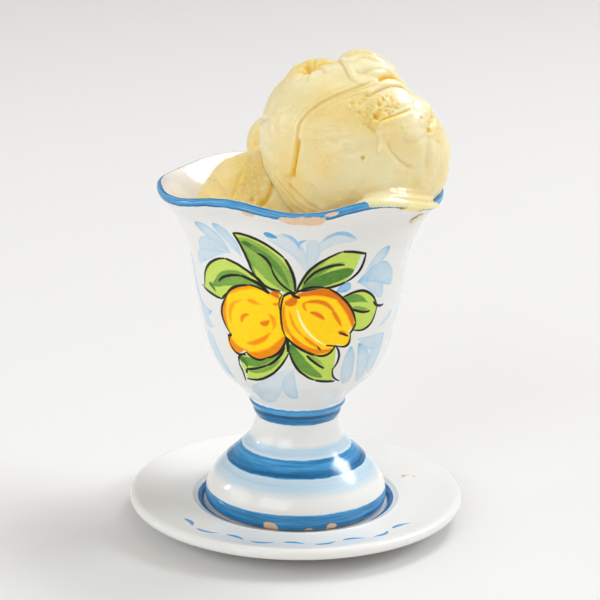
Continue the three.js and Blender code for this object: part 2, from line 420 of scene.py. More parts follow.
def floatInputs(values):
    return [(label, "Float", value) for label, value in values.items()]


def frameRows(start, turn, size):
    # rows that turn (across, up, 1) into a frame that starts at a place, is turned and is measured in sizes
    cosine, sine = math.cos(turn), math.sin(turn)
    x, y = float(start[0]), float(start[1])
    along = (cosine / size[0], sine / size[0], -(x * cosine + y * sine) / size[0])
    beside = (-sine / size[1], cosine / size[1], (x * sine - y * cosine) / size[1])
    return {"AlongRow": along, "BesideRow": beside}


def makeBrushStroke():
    # one comma of thin paint: darker along its edge and where the brush was set down or lifted
    tree, inputs, outputs = newGroup("brushStroke", placeInputs + floatInputs(strokeInputs),
                                     [("Paint", "Float"), ("Mask", "Float"), ("Side", "Float")])
    along = moveVector(tree, "DOT_PRODUCT", inputs["Place"], inputs["Along Row"])
    beside = moveVector(tree, "DOT_PRODUCT", inputs["Place"], inputs["Beside Row"])
    t = calc(tree, "MINIMUM", calc(tree, "MAXIMUM", along, 0.0), 1.0)
    left = calc(tree, "SUBTRACT", 1.0, t)
    over = calc(tree, "SUBTRACT", calc(tree, "ABSOLUTE", calc(tree, "SUBTRACT", along, 0.5)), 0.5)
    over = calc(tree, "MULTIPLY", calc(tree, "MAXIMUM", over, 0.0), inputs["Length"])
    arch = calc(tree, "MULTIPLY", calc(tree, "MULTIPLY", t, left), 4.0)
    offset = calc(tree, "SUBTRACT", beside, calc(tree, "MULTIPLY", arch, inputs["Bend"]))
    offset = calc(tree, "MULTIPLY", offset, inputs["Length"])
    shape = calc(tree, "POWER", t, inputs["Head"])
    shape = calc(tree, "MULTIPLY", shape, calc(tree, "POWER", left, inputs["Tail"]))
    width = calc(tree, "MULTIPLY", shape, inputs["Width"])
    inside = calc(tree, "SUBTRACT", calc(tree, "SUBTRACT", width, calc(tree, "ABSOLUTE", offset)), over)
    mask = calc(tree, "DIVIDE", inside, inputs["Soft"], clamp=True)
    depth = calc(tree, "DIVIDE", inside, calc(tree, "MAXIMUM", width, 0.01), clamp=True)
    edge = calc(tree, "POWER", calc(tree, "SUBTRACT", 1.0, depth), brush["edgeFall"])
    paint = calc(tree, "MULTIPLY_ADD", edge, inputs["Edge Paint"], inputs["Paint"])
    head = calc(tree, "POWER", left, brush["headFall"])
    paint = calc(tree, "MULTIPLY_ADD", head, inputs["Head Paint"], paint)
    tail = calc(tree, "POWER", t, brush["tailFall"])
    paint = calc(tree, "MULTIPLY_ADD", tail, inputs["Tail Paint"], paint)
    paint = calc(tree, "MAXIMUM", inputs["Under"], calc(tree, "MULTIPLY", mask, paint))
    tree.links.new(paint, outputs["Paint"])
    tree.links.new(mask, outputs["Mask"])
    tree.links.new(offset, outputs["Side"])
    return tree


def makePaintSpot():
    # a rounded spot; Inside is the distance from its edge, positive within
    spotInputs = placeInputs + floatInputs({"Size": 1.0, "Ragged": 0.0, "Under": farOutside})
    tree, inputs, outputs = newGroup("paintSpot", spotInputs, [("Inside", "Float")])
    x = moveVector(tree, "DOT_PRODUCT", inputs["Place"], inputs["Along Row"])
    y = moveVector(tree, "DOT_PRODUCT", inputs["Place"], inputs["Beside Row"])
    reach = calc(tree, "SQRT", calc(tree, "MULTIPLY_ADD", x, x, calc(tree, "MULTIPLY", y, y)))
    ragged = addNoise(tree, inputs["Place"], 0.55, detail=3.0).outputs["Fac"]
    ragged = calc(tree, "MULTIPLY", calc(tree, "SUBTRACT", ragged, 0.5), inputs["Ragged"])
    inside = calc(tree, "ADD", calc(tree, "SUBTRACT", 1.0, reach), ragged)
    inside = calc(tree, "MULTIPLY", inside, inputs["Size"])
    tree.links.new(calc(tree, "MAXIMUM", inputs["Under"], inside), outputs["Inside"])
    return tree


glazeLook = {
    "white": (0.90, 0.893, 0.875), "cloud": (0.80, 0.77, 0.70), "clouding": 0.16,
    "clay": (0.78, 0.50, 0.31), "paleClay": (0.98, 0.75, 0.54),
    # blue paint over the white, by its strength
    "cobalt": [(0.15, (0.62, 0.77, 0.88)), (0.3, (0.38, 0.62, 0.86)), (0.5, (0.10, 0.42, 0.79)),
               (0.7, (0.03, 0.26, 0.56)), (0.85, (0.01, 0.165, 0.38)), (1.0, (0.004, 0.095, 0.23))],
    "roughness": 0.08, "unevenGloss": 0.16, "clayRoughness": 0.7, "ior": 1.52,
    # how close the clouds, waves, ripples and grains of clay lie, and how high they stand
    "cloudScale": 45.0, "waveScale": 75.0, "rippleScale": 330.0, "clayScale": 900.0,
    "ripples": 0.22, "chipHeight": -0.8, "clayGrain": 0.5, "bump": 0.35, "bumpHeight": 0.0006,
}


def makeCobaltPaint():
    # blue glaze paint of a given strength over the white
    tree, inputs, outputs = newGroup("cobaltPaint", [("Paint", "Float", 0.0)], [("Colour", "Color")])
    stops = [(0.0, glazeLook["white"])] + glazeLook["cobalt"]
    tree.links.new(addRamp(tree, inputs["Paint"], stops), outputs["Colour"])
    return tree


def makeGlazeSkin():
    # what all the glazed surfaces share: faint clouds, uneven gloss, slow waves, and bare clay in the chips
    look = glazeLook
    tree, inputs, outputs = newGroup(
        "glazeSkin", [("Colour", "Color", (*look["white"], 1)), ("Chip", "Float", 0.0)],
        [("Colour", "Color"), ("Roughness", "Float"), ("Height", "Float")])
    place = objectPlace(tree)
    cloud = addNoise(tree, place, look["cloudScale"], detail=3.0).outputs["Fac"]
    clouding = calc(tree, "MULTIPLY", cloud, look["clouding"])
    tinted = mixColour(tree, clouding, inputs["Colour"], look["cloud"], "MULTIPLY")
    grain = addNoise(tree, place, look["clayScale"]).outputs["Fac"]
    clay = mixColour(tree, grain, look["clay"], look["paleClay"])
    tree.links.new(mixColour(tree, inputs["Chip"], tinted, clay), outputs["Colour"])
    gloss = calc(tree, "MULTIPLY_ADD", cloud, look["unevenGloss"], look["roughness"])
    gloss = calc(tree, "MULTIPLY_ADD", inputs["Chip"], look["clayRoughness"], gloss)
    tree.links.new(gloss, outputs["Roughness"])
    waves = addNoise(tree, place, look["waveScale"], detail=1.0).outputs["Fac"]
    ripples = addNoise(tree, place, look["rippleScale"], detail=1.0).outputs["Fac"]
    height = calc(tree, "MULTIPLY_ADD", ripples, look["ripples"], waves)
    height = calc(tree, "MULTIPLY_ADD", inputs["Chip"], look["chipHeight"], height)
    chipGrain = calc(tree, "MULTIPLY", grain, inputs["Chip"])
    height = calc(tree, "MULTIPLY_ADD", chipGrain, look["clayGrain"], height)
    tree.links.new(height, outputs["Height"])
    return tree


def finishGlaze(tree, shader, colour, chip=0.0):
    skin = useGroup(tree, glazeSkin, Colour=colour, Chip=chip)
    tree.links.new(skin["Colour"], shader.inputs["Base Color"])
    tree.links.new(skin["Roughness"], shader.inputs["Roughness"])
    bump = addBump(tree, skin["Height"], glazeLook["bump"], glazeLook["bumpHeight"])
    tree.links.new(bump, shader.inputs["Normal"])
    shader.inputs["IOR"].default_value = glazeLook["ior"]


# the painting on the bowl

def mark(start, end, bend, width=inkLook["width"], **more):
    # one mark of the brush: where it was set down and lifted, how far it bends to its left as a share of its
    # length, and half its width; then head, tail and strengths where they differ from the usual
    return {"from": start, "to": end, "bend": bend, "width": width, **more}


paleStrokes = [
    mark((-35.6, 119.0), (-24.1, 109.2), 0.05, 2.6, headPaint=0.22, tailPaint=0.12),
    mark((-28.3, 120.2), (-19.9, 108.4), 0.06, 2.1, headPaint=0.22, tailPaint=0.1),
    mark((-39.5, 108.5), (-23.8, 109.2), 0.16, 3.0, tail=0.8),
    mark((-42.8, 102.6), (-26.5, 108.7), 0.1, 2.4),
    mark((-50.5, 104.0), (-44.5, 84.2), -0.16, 3.0, tailPaint=0.2),
    mark((-49.0, 86.5), (-37.4, 85.0), -0.2, 2.6, tailPaint=0.3),
    mark((-47.0, 82.5), (-38.2, 78.4), -0.12, 2.6),
    mark((-45.5, 75.5), (-34.0, 58.0), -0.08, 4.4, tailPaint=0.26),
    mark((-42.0, 65.0), (-34.5, 58.2), 0.1, 2.4, tailPaint=0.22),
    mark((-10.8, 119.4), (-6.2, 118.0), 0.05, 1.1, paint=0.55),
    mark((-9.6, 118.9), (1.8, 104.9), 0.18, 2.9, paint=0.09),
    mark((-5.7, 120.2), (0.2, 112.4), 0.17, 0.8, paint=0.3),
    mark((3.6, 118.2), (1.8, 104.9), 0.1, 2.3, paint=0.1),
    mark((-0.7, 115.0), (2.8, 118.3), 0.15, 0.7, paint=0.3),
    mark((17.9, 116.9), (4.4, 109.1), -0.3, 2.6, paint=0.08, edgePaint=0.1),
    mark((18.2, 116.6), (5.2, 115.0), -0.3, 1.0, paint=0.28),
    mark((32.6, 111.6), (23.0, 103.4), 0.06, 2.2, headPaint=0.26, edgePaint=0.22),
    mark((38.2, 97.5), (20.2, 99.6), -0.22, 4.2, paint=0.15, tailPaint=0.26, edgePaint=0.15),
    mark((33.2, 93.0), (20.2, 99.8), -0.14, 2.8, tailPaint=0.2),
    mark((18.3, 99.4), (12.4, 97.2), -0.05, 1.9, paint=0.32, edgePaint=0.26),
    mark((42.4, 85.0), (33.4, 80.2), 0.06, 1.2, headPaint=0.2),
    mark((40.5, 75.5), (23.8, 78.4), 0.1, 3.2),
    mark((21.2, 75.6), (24.0, 59.6), -0.05, 3.2, head=0.6, tail=0.35, headPaint=0.3),
    mark((24.9, 76.0), (32.6, 59.0), 0.06, 3.4, head=0.6, tail=0.4, headPaint=0.34),
    mark((38.4, 77.5), (39.0, 61.0), -0.16, 4.0, tail=0.5),
    mark((-3.6, 68.0), (-27.0, 52.0), 0.1, 5.2, head=0.8, tail=0.45, paint=0.07, edgePaint=0.1,
         tailPaint=0.1),
    mark((-1.8, 68.0), (-1.5, 53.0), -0.14, 3.6, head=0.8, tail=0.4, paint=0.11, edgePaint=0.12,
         tailPaint=0.14),
    mark((62.0, 99.0), (49.0, 90.0), 0.14, 2.6, headPaint=0.2),
    mark((60.0, 84.0), (47.0, 80.0), -0.12, 2.4, headPaint=0.2),
    mark((-66.0, 97.0), (-53.0, 88.0), -0.14, 2.6, headPaint=0.2),
]

# the outlines of leaves and fruits, drawn in ink. "fill" says on which side of the line the colour lies:
# 1 is the left as the line was drawn, -1 the right
leaves = [
    [mark((-21.5, 117.9), (-5.0, 110.3), 0.12, fill=-1), mark((-5.0, 110.3), (-1.2, 97.7), 0.07, fill=-1),
     mark((-21.5, 117.9), (-16.4, 104.3), 0.0, fill=1),
     mark((-16.4, 104.3), (-6.4, 97.9), -0.15, fill=1)],
    [mark((-40.6, 93.6), (-27.0, 107.0), 0.17, fill=-1),
     mark((-27.0, 107.0), (-11.0, 98.4), 0.09, fill=-1),
     mark((-41.3, 93.1), (-30.3, 91.3), -0.03, fill=1), mark((-30.3, 91.3), (-20.5, 98.4), 0.02)],
    [mark((-0.8, 97.7), (14.1, 112.4), 0.14, fill=-1), mark((14.1, 112.4), (23.3, 110.4), 0.02, fill=-1),
     mark((23.1, 110.6), (16.1, 100.8), 0.18), mark((16.1, 100.8), (-0.6, 98.2), 0.04, fill=-1),
     mark((21.6, 111.6), (15.8, 100.4), 0.1, 0, fill=-1)],
    [mark((15.2, 95.1), (31.1, 89.7), 0.24, fill=-1), mark((31.1, 89.7), (20.6, 82.0), 0.34, fill=-1),
     mark((20.6, 82.0), (15.2, 95.1), 0.0, 0, fill=-1)],
    [mark((-21.4, 71.5), (-26.3, 66.4), -0.25, fill=1), mark((-26.5, 66.8), (-26.3, 59.7), 0.11),
     mark((-25.6, 68.4), (-23.4, 60.6), -0.03, 0, fill=1),
     mark((-24.8, 60.9), (-3.6, 74.4), -0.16, fill=1),
     mark((-22.0, 72.5), (-2.5, 77.5), 0.0, 0, fill=-1)],
    [mark((-3.4, 74.8), (7.7, 62.7), -0.14, fill=1), mark((7.7, 62.7), (17.2, 61.6), -0.02, fill=1),
     mark((14.6, 76.6), (14.6, 66.9), 0.2, 0.62), mark((14.6, 67.6), (19.8, 61.6), -0.2, 0.55),
     mark((14.8, 77.0), (16.0, 60.8), 0.0, 0, fill=-1),
     mark((-4.5, 78.0), (15.0, 78.0), 0.0, 0, fill=-1)],
]
leafRibs = [
    mark((-13.9, 111.1), (-9.3, 106.1), 0.13), mark((-9.4, 106.3), (-1.4, 97.5), -0.12, 0.55),
    mark((-31.0, 97.8), (-20.8, 101.7), 0.1), mark((-21.0, 101.7), (-8.6, 94.4), 0.12, 0.75),
    mark((1.4, 100.6), (15.4, 107.2), 0.17), mark((19.8, 90.1), (27.8, 88.2), -0.07),
    mark((28.9, 91.6), (35.0, 89.3), -0.16), mark((-22.9, 65.2), (-12.5, 68.6), -0.03),
    mark((-12.7, 68.5), (-5.0, 76.8), -0.1, 0.7), mark((3.3, 73.3), (10.8, 67.6), -0.02),
    mark((-22.9, 65.2), (-23.6, 63.4), 0.0),
]
# strokes of green: 0 is the light ground, 1 the darkest
greenStrokes = [
    mark((-20.4, 116.0), (-2.2, 98.2), 0.03, 5.0, paint=0.42, head=0.5, tail=0.5),
    mark((-19.6, 115.0), (-3.0, 98.6), 0.12, 1.7, paint=0.66, head=0.3, tail=0.5),
    mark((-19.2, 114.8), (-14.6, 113.6), 0.0, 1.3, paint=0.85),
    mark((-18.8, 112.0), (-14.4, 101.8), -0.04, 1.4, paint=0.55),
    mark((-32.6, 98.6), (-15.5, 100.7), 0.16, 1.1, paint=0.55, tail=0.6),
    mark((-34.6, 95.4), (-13.0, 98.6), 0.13, 2.6, paint=0.52, tail=0.6, headPaint=0.2),
    mark((-37.0, 95.8), (-32.8, 92.8), 0.1, 1.3, paint=0.78),
    mark((0.8, 98.8), (19.0, 104.6), 0.05, 2.6, paint=0.72, head=0.4, tail=0.35),
    mark((2.4, 101.0), (16.6, 108.0), 0.14, 1.4, paint=0.58, tailPaint=0.2),
    mark((1.0, 99.0), (9.5, 109.8), 0.1, 1.5, paint=0.36),
    mark((15.8, 94.4), (27.0, 91.2), 0.1, 1.9, paint=0.6, head=0.3),
    mark((18.6, 90.6), (27.4, 89.0), 0.0, 1.3, paint=0.5),
    mark((-25.4, 69.0), (-6.0, 74.6), -0.11, 2.1, paint=0.58, head=0.3, headPaint=0.3),
    mark((-25.0, 69.2), (-22.4, 65.2), 0.3, 1.5, paint=0.82),
    mark((-22.8, 64.6), (-6.4, 72.0), -0.11, 1.1, paint=0.5, tail=0.5),
    mark((-3.4, 77.4), (10.8, 63.8), -0.1, 2.5, paint=0.6, head=0.3, tail=0.5, headPaint=0.2),
    mark((3.0, 73.6), (11.6, 67.4), 0.08, 1.1, paint=0.34),
]

fruits = [
    {"outline": [mark((-28.5, 91.9), (-18.1, 98.7), 0.14, fill=-1),
                 mark((-18.1, 98.7), (-10.4, 96.4), 0.09, 0.5, fill=-1),
                 mark((-28.5, 91.9), (-27.9, 78.3), -0.23, fill=1),
                 mark((-27.9, 78.3), (-21.0, 72.8), -0.05, 0, fill=1),
                 mark((-21.2, 72.6), (-12.4, 71.7), -0.19, fill=1),
                 mark((-12.4, 71.7), (-4.5, 80.5), -0.17, fill=1),
                 mark((-9.2, 97.2), (-4.7, 80.0), 0.13, 0, fill=-1)],
     "spots": [((-25.2, 75.8), 35, (5.3, 4.0)), ((-8.4, 94.6), 70, (3.4, 2.5))],
     "nub": [mark((-27.6, 78.6), (-29.3, 75.0), -0.15), mark((-29.4, 75.6), (-21.0, 72.6), -0.34)]},
    {"outline": [mark((-1.7, 96.8), (10.2, 98.7), 0.15, 0.55, fill=-1),
                 mark((10.2, 98.7), (21.8, 84.5), 0.1, 0.6, fill=-1),
                 mark((21.8, 84.5), (20.0, 80.6), 0.08),
                 mark((21.8, 84.5), (14.0, 76.0), 0.02, 0, fill=-1),
                 mark((14.5, 76.8), (6.6, 73.5), 0.23, fill=-1),
                 mark((6.6, 73.5), (-4.7, 80.6), 0.07, fill=-1),
                 mark((-5.1, 97.0), (-4.5, 80.0), -0.09, 0.5, fill=1),
                 mark((-5.2, 96.2), (-0.8, 97.2), 0.16, fill=-1)],
     "spots": [((17.2, 79.4), -50, (3.5, 3.0))],
     "nub": [mark((20.2, 81.4), (14.4, 76.7), 0.46)]},
]
# strokes of orange over the yellow: 1 is the darkest
orangeStrokes = [
    mark((-27.4, 94.0), (-27.4, 78.8), -0.2, 2.1, paint=0.7, soft=1.0),
    mark((-27.0, 93.4), (-12.0, 96.8), 0.17, 1.5, paint=0.55, soft=0.9),
    mark((-21.5, 71.6), (-4.6, 80.6), -0.2, 3.2, paint=0.7, soft=1.0, head=0.3, tail=0.35),
    mark((-29.5, 77.6), (-20.2, 73.2), -0.26, 2.4, paint=0.7, soft=0.8, head=0.3, tail=0.4),
    mark((-27.0, 82.0), (-18.3, 93.2), 0.25, 1.4, paint=0.5, soft=0.9, tailPaint=0.1),
    mark((-19.0, 93.2), (-12.4, 91.8), 0.03, 1.3, paint=0.55, soft=0.9),
    mark((-22.0, 84.2), (-17.8, 87.6), 0.2, 1.2, paint=0.7, soft=0.7, head=0.3, tail=0.5),
    mark((-14.4, 84.8), (-10.2, 86.6), -0.15, 1.5, paint=0.8, soft=0.9, head=0.4, tail=0.5),
    mark((-10.8, 89.4), (-10.2, 81.2), 0.22, 1.3, paint=0.55, soft=0.9),
    mark((-9.8, 82.2), (-21.0, 76.2), 0.11, 1.5, paint=0.65, soft=0.9, head=0.6, tail=0.5),
    mark((-10.2, 97.6), (-6.4, 94.4), 0.1, 1.5, paint=0.9, soft=0.6),
    mark((-9.4, 92.8), (-6.4, 94.2), -0.2, 0.9, paint=0.66, soft=0.6),
    mark((-0.6, 96.4), (14.4, 94.6), 0.15, 1.9, paint=0.86, soft=0.7, head=0.3, tail=0.3),
    mark((13.4, 95.2), (21.0, 82.4), 0.09, 1.8, paint=0.84, soft=0.8, head=0.3, tail=0.5),
    mark((-5.0, 93.2), (-1.0, 96.4), -0.2, 2.0, paint=0.86, soft=0.8, head=0.4, tail=0.4),
    mark((-4.8, 93.4), (-2.2, 80.6), -0.14, 1.2, paint=0.6, soft=0.6, head=0.4, tail=0.3),
    mark((-3.0, 81.6), (14.2, 75.6), -0.19, 1.5, paint=0.72, soft=0.6, head=0.3, tail=0.4),
    mark((-3.4, 91.4), (2.6, 80.2), -0.11, 0.8, paint=0.6, soft=0.5, tail=0.5),
    mark((2.0, 80.8), (9.4, 75.4), -0.03, 0.9, paint=0.72, soft=0.5, head=0.4, tail=0.6),
    mark((2.9, 90.4), (4.0, 94.9), 0.4, 0.9, paint=0.7, soft=0.5),
    mark((1.9, 93.8), (12.8, 89.6), 0.18, 1.1, paint=0.8, soft=0.6, head=0.3, tail=0.3),
    mark((11.8, 90.4), (16.1, 83.8), 0.02, 1.1, paint=0.76, soft=0.6, head=0.3, tail=0.5),
    mark((3.8, 90.3), (9.2, 87.2), 0.08, 1.1, paint=0.86, soft=0.6, head=0.4, tail=0.4),
    mark((14.6, 82.2), (20.0, 79.2), 0.05, 1.2, paint=0.8, soft=0.7),
]
shineStroke = mark((-0.8, 91.9), (10.9, 77.0), -0.13, 0.62, head=0.45, tail=0.6)
inkLines = [
    # the creases of the nubs, the mark where the stems meet and the ends of leaf lines
    mark((15.2, 81.6), (19.4, 79.8), 0.0, 0.5), mark((10.6, 77.2), (14.6, 76.4), 0.0, 0.45),
    mark((7.2, 76.8), (8.7, 75.1), 0.0, 0.4), mark((-29.8, 77.3), (-27.3, 77.9), 0.0, 0.6),
    mark((-2.6, 97.4), (0.4, 95.6), -0.1, 0.7), mark((-9.6, 97.8), (-5.6, 96.2), 0.14, 0.35),
    mark((-5.8, 96.6), (-6.6, 90.6), -0.1, 0.35), mark((-42.6, 93.6), (-40.4, 92.9), 0.1, 0.35),
    mark((-4.6, 80.6), (-3.8, 74.6), 0.05, 0.8),
]
bowlLook = {
    "greenStops": [(0.0, (0.62, 0.80, 0.13)), (0.3, (0.42, 0.60, 0.10)), (0.55, (0.19, 0.40, 0.065)),
                   (0.75, (0.09, 0.25, 0.035)), (1.0, (0.04, 0.13, 0.02))],
    "fruitStops": [(0.0, (0.97, 0.66, 0.004)), (0.35, (0.96, 0.49, 0.001)), (0.65, (0.88, 0.31, 0.0)),
                   (1.0, (0.68, 0.14, 0.0))],
    "fruitGlow": 0.19, "highlight": (1.0, 0.86, 0.42), "specular": 0.2,
    # how uneven the blue wash is, and the dabs in the green and orange
    "washScale": 0.35, "wash": (1.1, 0.45), "dabScale": 0.5, "dabStretch": (1, 1.6, 1),
    "greenDabs": 0.32, "orangeDabs": 0.3, "orangeGround": 0.08,
    # colour stops this far inside the ink, and its edge is this sharp
    "leafInset": 0.1, "fruitInset": -0.1, "sharp": 4.0, "chipSharp": 6.0,
}


def addStroke(tree, place, under, line, paint=0.13, edgePaint=0.16, soft=brush["soft"]):
    start, end = np.array(line["from"]), np.array(line["to"])
    length = float(np.linalg.norm(end - start))
    turn = math.atan2(end[1] - start[1], end[0] - start[0])
    look = {"head": 0.5, "tail": 1.0, "soft": soft, "paint": paint, "edgePaint": edgePaint, "headPaint": 0.0,
            "tailPaint": 0.0, **line}
    head, tail = look["head"], look["tail"]
    # "width" is half of the widest place
    peak = (head / (head + tail)) ** head * (tail / (head + tail)) ** tail
    return useGroup(
        tree, brushStroke, Place=place, Under=under, Length=length, Bend=line["bend"], Head=head, Tail=tail,
        Width=line["width"] / peak, Soft=look["soft"], Paint=look["paint"], EdgePaint=look["edgePaint"],
        HeadPaint=look["headPaint"], TailPaint=look["tailPaint"], **frameRows(start, turn, (length, length)))


def addInk(tree, place, under, line):
    # a drawn line, almost as wide from end to end, with tapered ends. One of no width only bounds a colour
    drawn = {"head": inkLook["head"], "tail": inkLook["tail"], **line, "width": max(line["width"], 0.1)}
    drawn = addStroke(tree, place, under, drawn, paint=1.0, edgePaint=0.0, soft=inkLook["soft"])
    return (drawn["Paint"] if line["width"] else under), drawn["Side"]


def addOutline(tree, place, ink, lines):
    # inks an outline, and measures how far inside of it a point is
    inside = None
    for line in lines:
        ink, side = addInk(tree, place, ink, line)
        if "fill" in line:
            side = calc(tree, "MULTIPLY", side, float(line["fill"]))
            inside = side if inside is None else calc(tree, "MINIMUM", inside, side)
    return ink, inside


def addSpot(tree, place, under, centre, turn, size, ragged=0.0):
    rows = frameRows(centre, math.radians(turn), size)
    spot = useGroup(tree, paintSpot, Place=place, Under=under, Size=min(size), Ragged=ragged, **rows)
    return spot["Inside"]


def addChips(tree, place, chips):
    inside = farOutside
    for centre, size in chips:
        inside = addSpot(tree, place, inside, centre, 0, size, ragged=0.9)
    return calc(tree, "MULTIPLY", inside, bowlLook["chipSharp"], clamp=True)


def addColourMask(tree, inside, inset):
    return calc(tree, "MULTIPLY", calc(tree, "SUBTRACT", inside, inset), bowlLook["sharp"], clamp=True)


def addUneven(tree, paint, noise, strength):
    # paint that is laid on more and less thickly; strength is how much of the noise counts, and the rest
    return calc(tree, "MULTIPLY", paint, calc(tree, "MULTIPLY_ADD", noise, *strength))


def makeBowlPaint():
    look = bowlLook
    material, tree, shader = newMaterial("bowlPaint")
    place = useGroup(tree, wallPlace, Wobble=brush["wobble"])["Place"]
    blue = 0.0
    for line in paleStrokes:
        blue = addStroke(tree, place, blue, line)["Paint"]
    wash = addNoise(tree, place, look["washScale"], detail=3.0, rough=0.6).outputs["Fac"]
    blue = addUneven(tree, blue, wash, look["wash"])
    colour = useGroup(tree, cobaltPaint, Paint=blue)["Colour"]
    inkPlace = useGroup(tree, wallPlace, Wobble=brush["inkWobble"])["Place"]
    dabs = addNoise(tree, place, look["dabScale"], detail=3.0, rough=0.6, stretch=look["dabStretch"])
    dabs = calc(tree, "SUBTRACT", dabs.outputs["Fac"], 0.5)
    # leaves
    ink, leafFill = 0.0, farOutside
    for outline in leaves:
        ink, inside = addOutline(tree, inkPlace, ink, outline)
        leafFill = calc(tree, "MAXIMUM", leafFill, inside)
    for rib in leafRibs:
        ink, _ = addInk(tree, inkPlace, ink, rib)
    green = 0.0
    for line in greenStrokes:
        green = addStroke(tree, inkPlace, green, line, paint=0.5, edgePaint=0.06, soft=0.5)["Paint"]
    green = calc(tree, "ADD", green, calc(tree, "MULTIPLY", dabs, look["greenDabs"]))
    leafMask = addColourMask(tree, leafFill, look["leafInset"])
    colour = mixColour(tree, leafMask, colour, addRamp(tree, green, look["greenStops"]))
    # fruits cover the leaves' ends
    fruitFill, fruitInk = farOutside, 0.0
    for fruit in fruits:
        fruitInk, inside = addOutline(tree, inkPlace, fruitInk, fruit["outline"])
        for centre, turn, size in fruit["spots"]:
            inside = addSpot(tree, inkPlace, inside, centre, turn, size)
        for line in fruit["nub"]:
            fruitInk, _ = addInk(tree, inkPlace, fruitInk, line)
        fruitFill = calc(tree, "MAXIMUM", fruitFill, inside)
    covered = addColourMask(tree, fruitFill, look["fruitInset"])
    ink = calc(tree, "MULTIPLY", ink, calc(tree, "SUBTRACT", 1.0, covered))
    orange = 0.0
    for line in orangeStrokes:
        orange = addStroke(tree, inkPlace, orange, line, paint=0.5, edgePaint=0.0)["Paint"]
    orange = calc(tree, "ADD", orange, look["orangeGround"])
    orange = calc(tree, "ADD", orange, calc(tree, "MULTIPLY", dabs, look["orangeDabs"]))
    yellow = addRamp(tree, orange, look["fruitStops"])
    shine = addStroke(tree, inkPlace, 0.0, shineStroke)["Mask"]
    yellow = mixColour(tree, shine, yellow, look["highlight"])
    for line in inkLines:
        fruitInk, _ = addInk(tree, inkPlace, fruitInk, line)
    ink = calc(tree, "MAXIMUM", ink, fruitInk)
    colour = mixColour(tree, covered, colour, yellow)
    colour = mixColour(tree, ink, colour, inkLook["colour"])
    finishGlaze(tree, shader, colour)
    # painted light: the fruits' yellow, where no ink lies over it, glows a little, so it looks brighter than
    # the lamps alone make it
    clear = calc(tree, "MULTIPLY", covered, calc(tree, "SUBTRACT", 1.0, ink))
    tree.links.new(mixColour(tree, clear, (0.0, 0.0, 0.0), yellow), shader.inputs["Emission Color"])
    shader.inputs["Emission Strength"].default_value = look["fruitGlow"]
    shader.inputs["Specular IOR Level"].default_value = look["specular"]
    return material


bandLook = {
    # blue bands on the foot and collar: strength of the paint by height
    "strengths": [(6.0, 0.78), (9.0, 0.7), (12.2, 0.72), (12.7, 0.0), (17.4, 0.0), (19.4, 0.12), (21.6, 0.2),
                  (23.3, 0.14), (23.7, 0.9), (24.8, 0.9), (25.6, 0.7), (27.4, 0.62), (28.5, 0.68),
                  (28.9, 0.05), (29.8, 0.2), (31.6, 0.17), (33.0, 0.0), (40.1, 0.0), (40.5, 0.8),
                  (42.6, 0.86), (43.3, 1.0), (43.8, 0.96), (44.4, 0.55), (45.6, 0.56), (46.4, 0.82),
                  (46.9, 0.0)],
    "low": 5.0, "high": 50.0, "streakStretch": (45, 45, 900), "streaks": (1.3, 0.34),
    "chips": [((-10.5, 7.5), (3.2, 2.1)), ((5.7, 6.7), (1.8, 1.1)), ((15.6, 7.4), (2.6, 1.5))],
}


def makeBandPaint():
    material, tree, shader = newMaterial("bandPaint")
    place = useGroup(tree, wallPlace, Wobble=brush["bandWobble"])["Place"]
    _, height, _ = splitVector(tree, place)
    low, reach = bandLook["low"], bandLook["high"] - bandLook["low"]
    share = calc(tree, "DIVIDE", calc(tree, "SUBTRACT", height, low), reach)
    paint = addRamp(tree, share, [((z - low) / reach, strength) for z, strength in bandLook["strengths"]])
    streaks = addNoise(tree, objectPlace(tree), 1.0, detail=4.0, rough=0.7, stretch=bandLook["streakStretch"])
    paint = addUneven(tree, paint, streaks.outputs["Fac"], bandLook["streaks"])
    colour = useGroup(tree, cobaltPaint, Paint=paint)["Colour"]
    finishGlaze(tree, shader, colour, addChips(tree, place, bandLook["chips"]))
    return material


rimBand = {
    # the blue line on the lip, by the distance along the cup's outline from the lip's outermost point
    "from": -0.9, "to": 2.7, "soft": 0.15, "shakes": 0.2, "wobble": 1.1,
    # the pale streaks and the lighter middle are partly the brush's streaks and partly a painted highlight on
    # the rounded lip; the darker edges are partly painted shade
    "streakStretch": (0.06, 2.2, 1), "streaks": (1.5, -0.18), "edgeFall": 2.5, "edgePaint": 0.5,
    "chips": [((0.4, -0.9), (6.2, 1.9)), ((4.0, -2.0), (2.6, 1.6)), ((-14.0, -2.2), (1.8, 1.2)),
              ((8.2, 0.7), (2.0, 0.9))],
}


def addBand(tree, value, band, soft):
    # 1 between the band's edges, 0 outside of them
    start = fromTo(tree, value, band["from"] - soft[0], band["from"] + soft[1])
    return calc(tree, "MULTIPLY", start, fromTo(tree, value, band["to"] + soft[1], band["to"] - soft[1]))


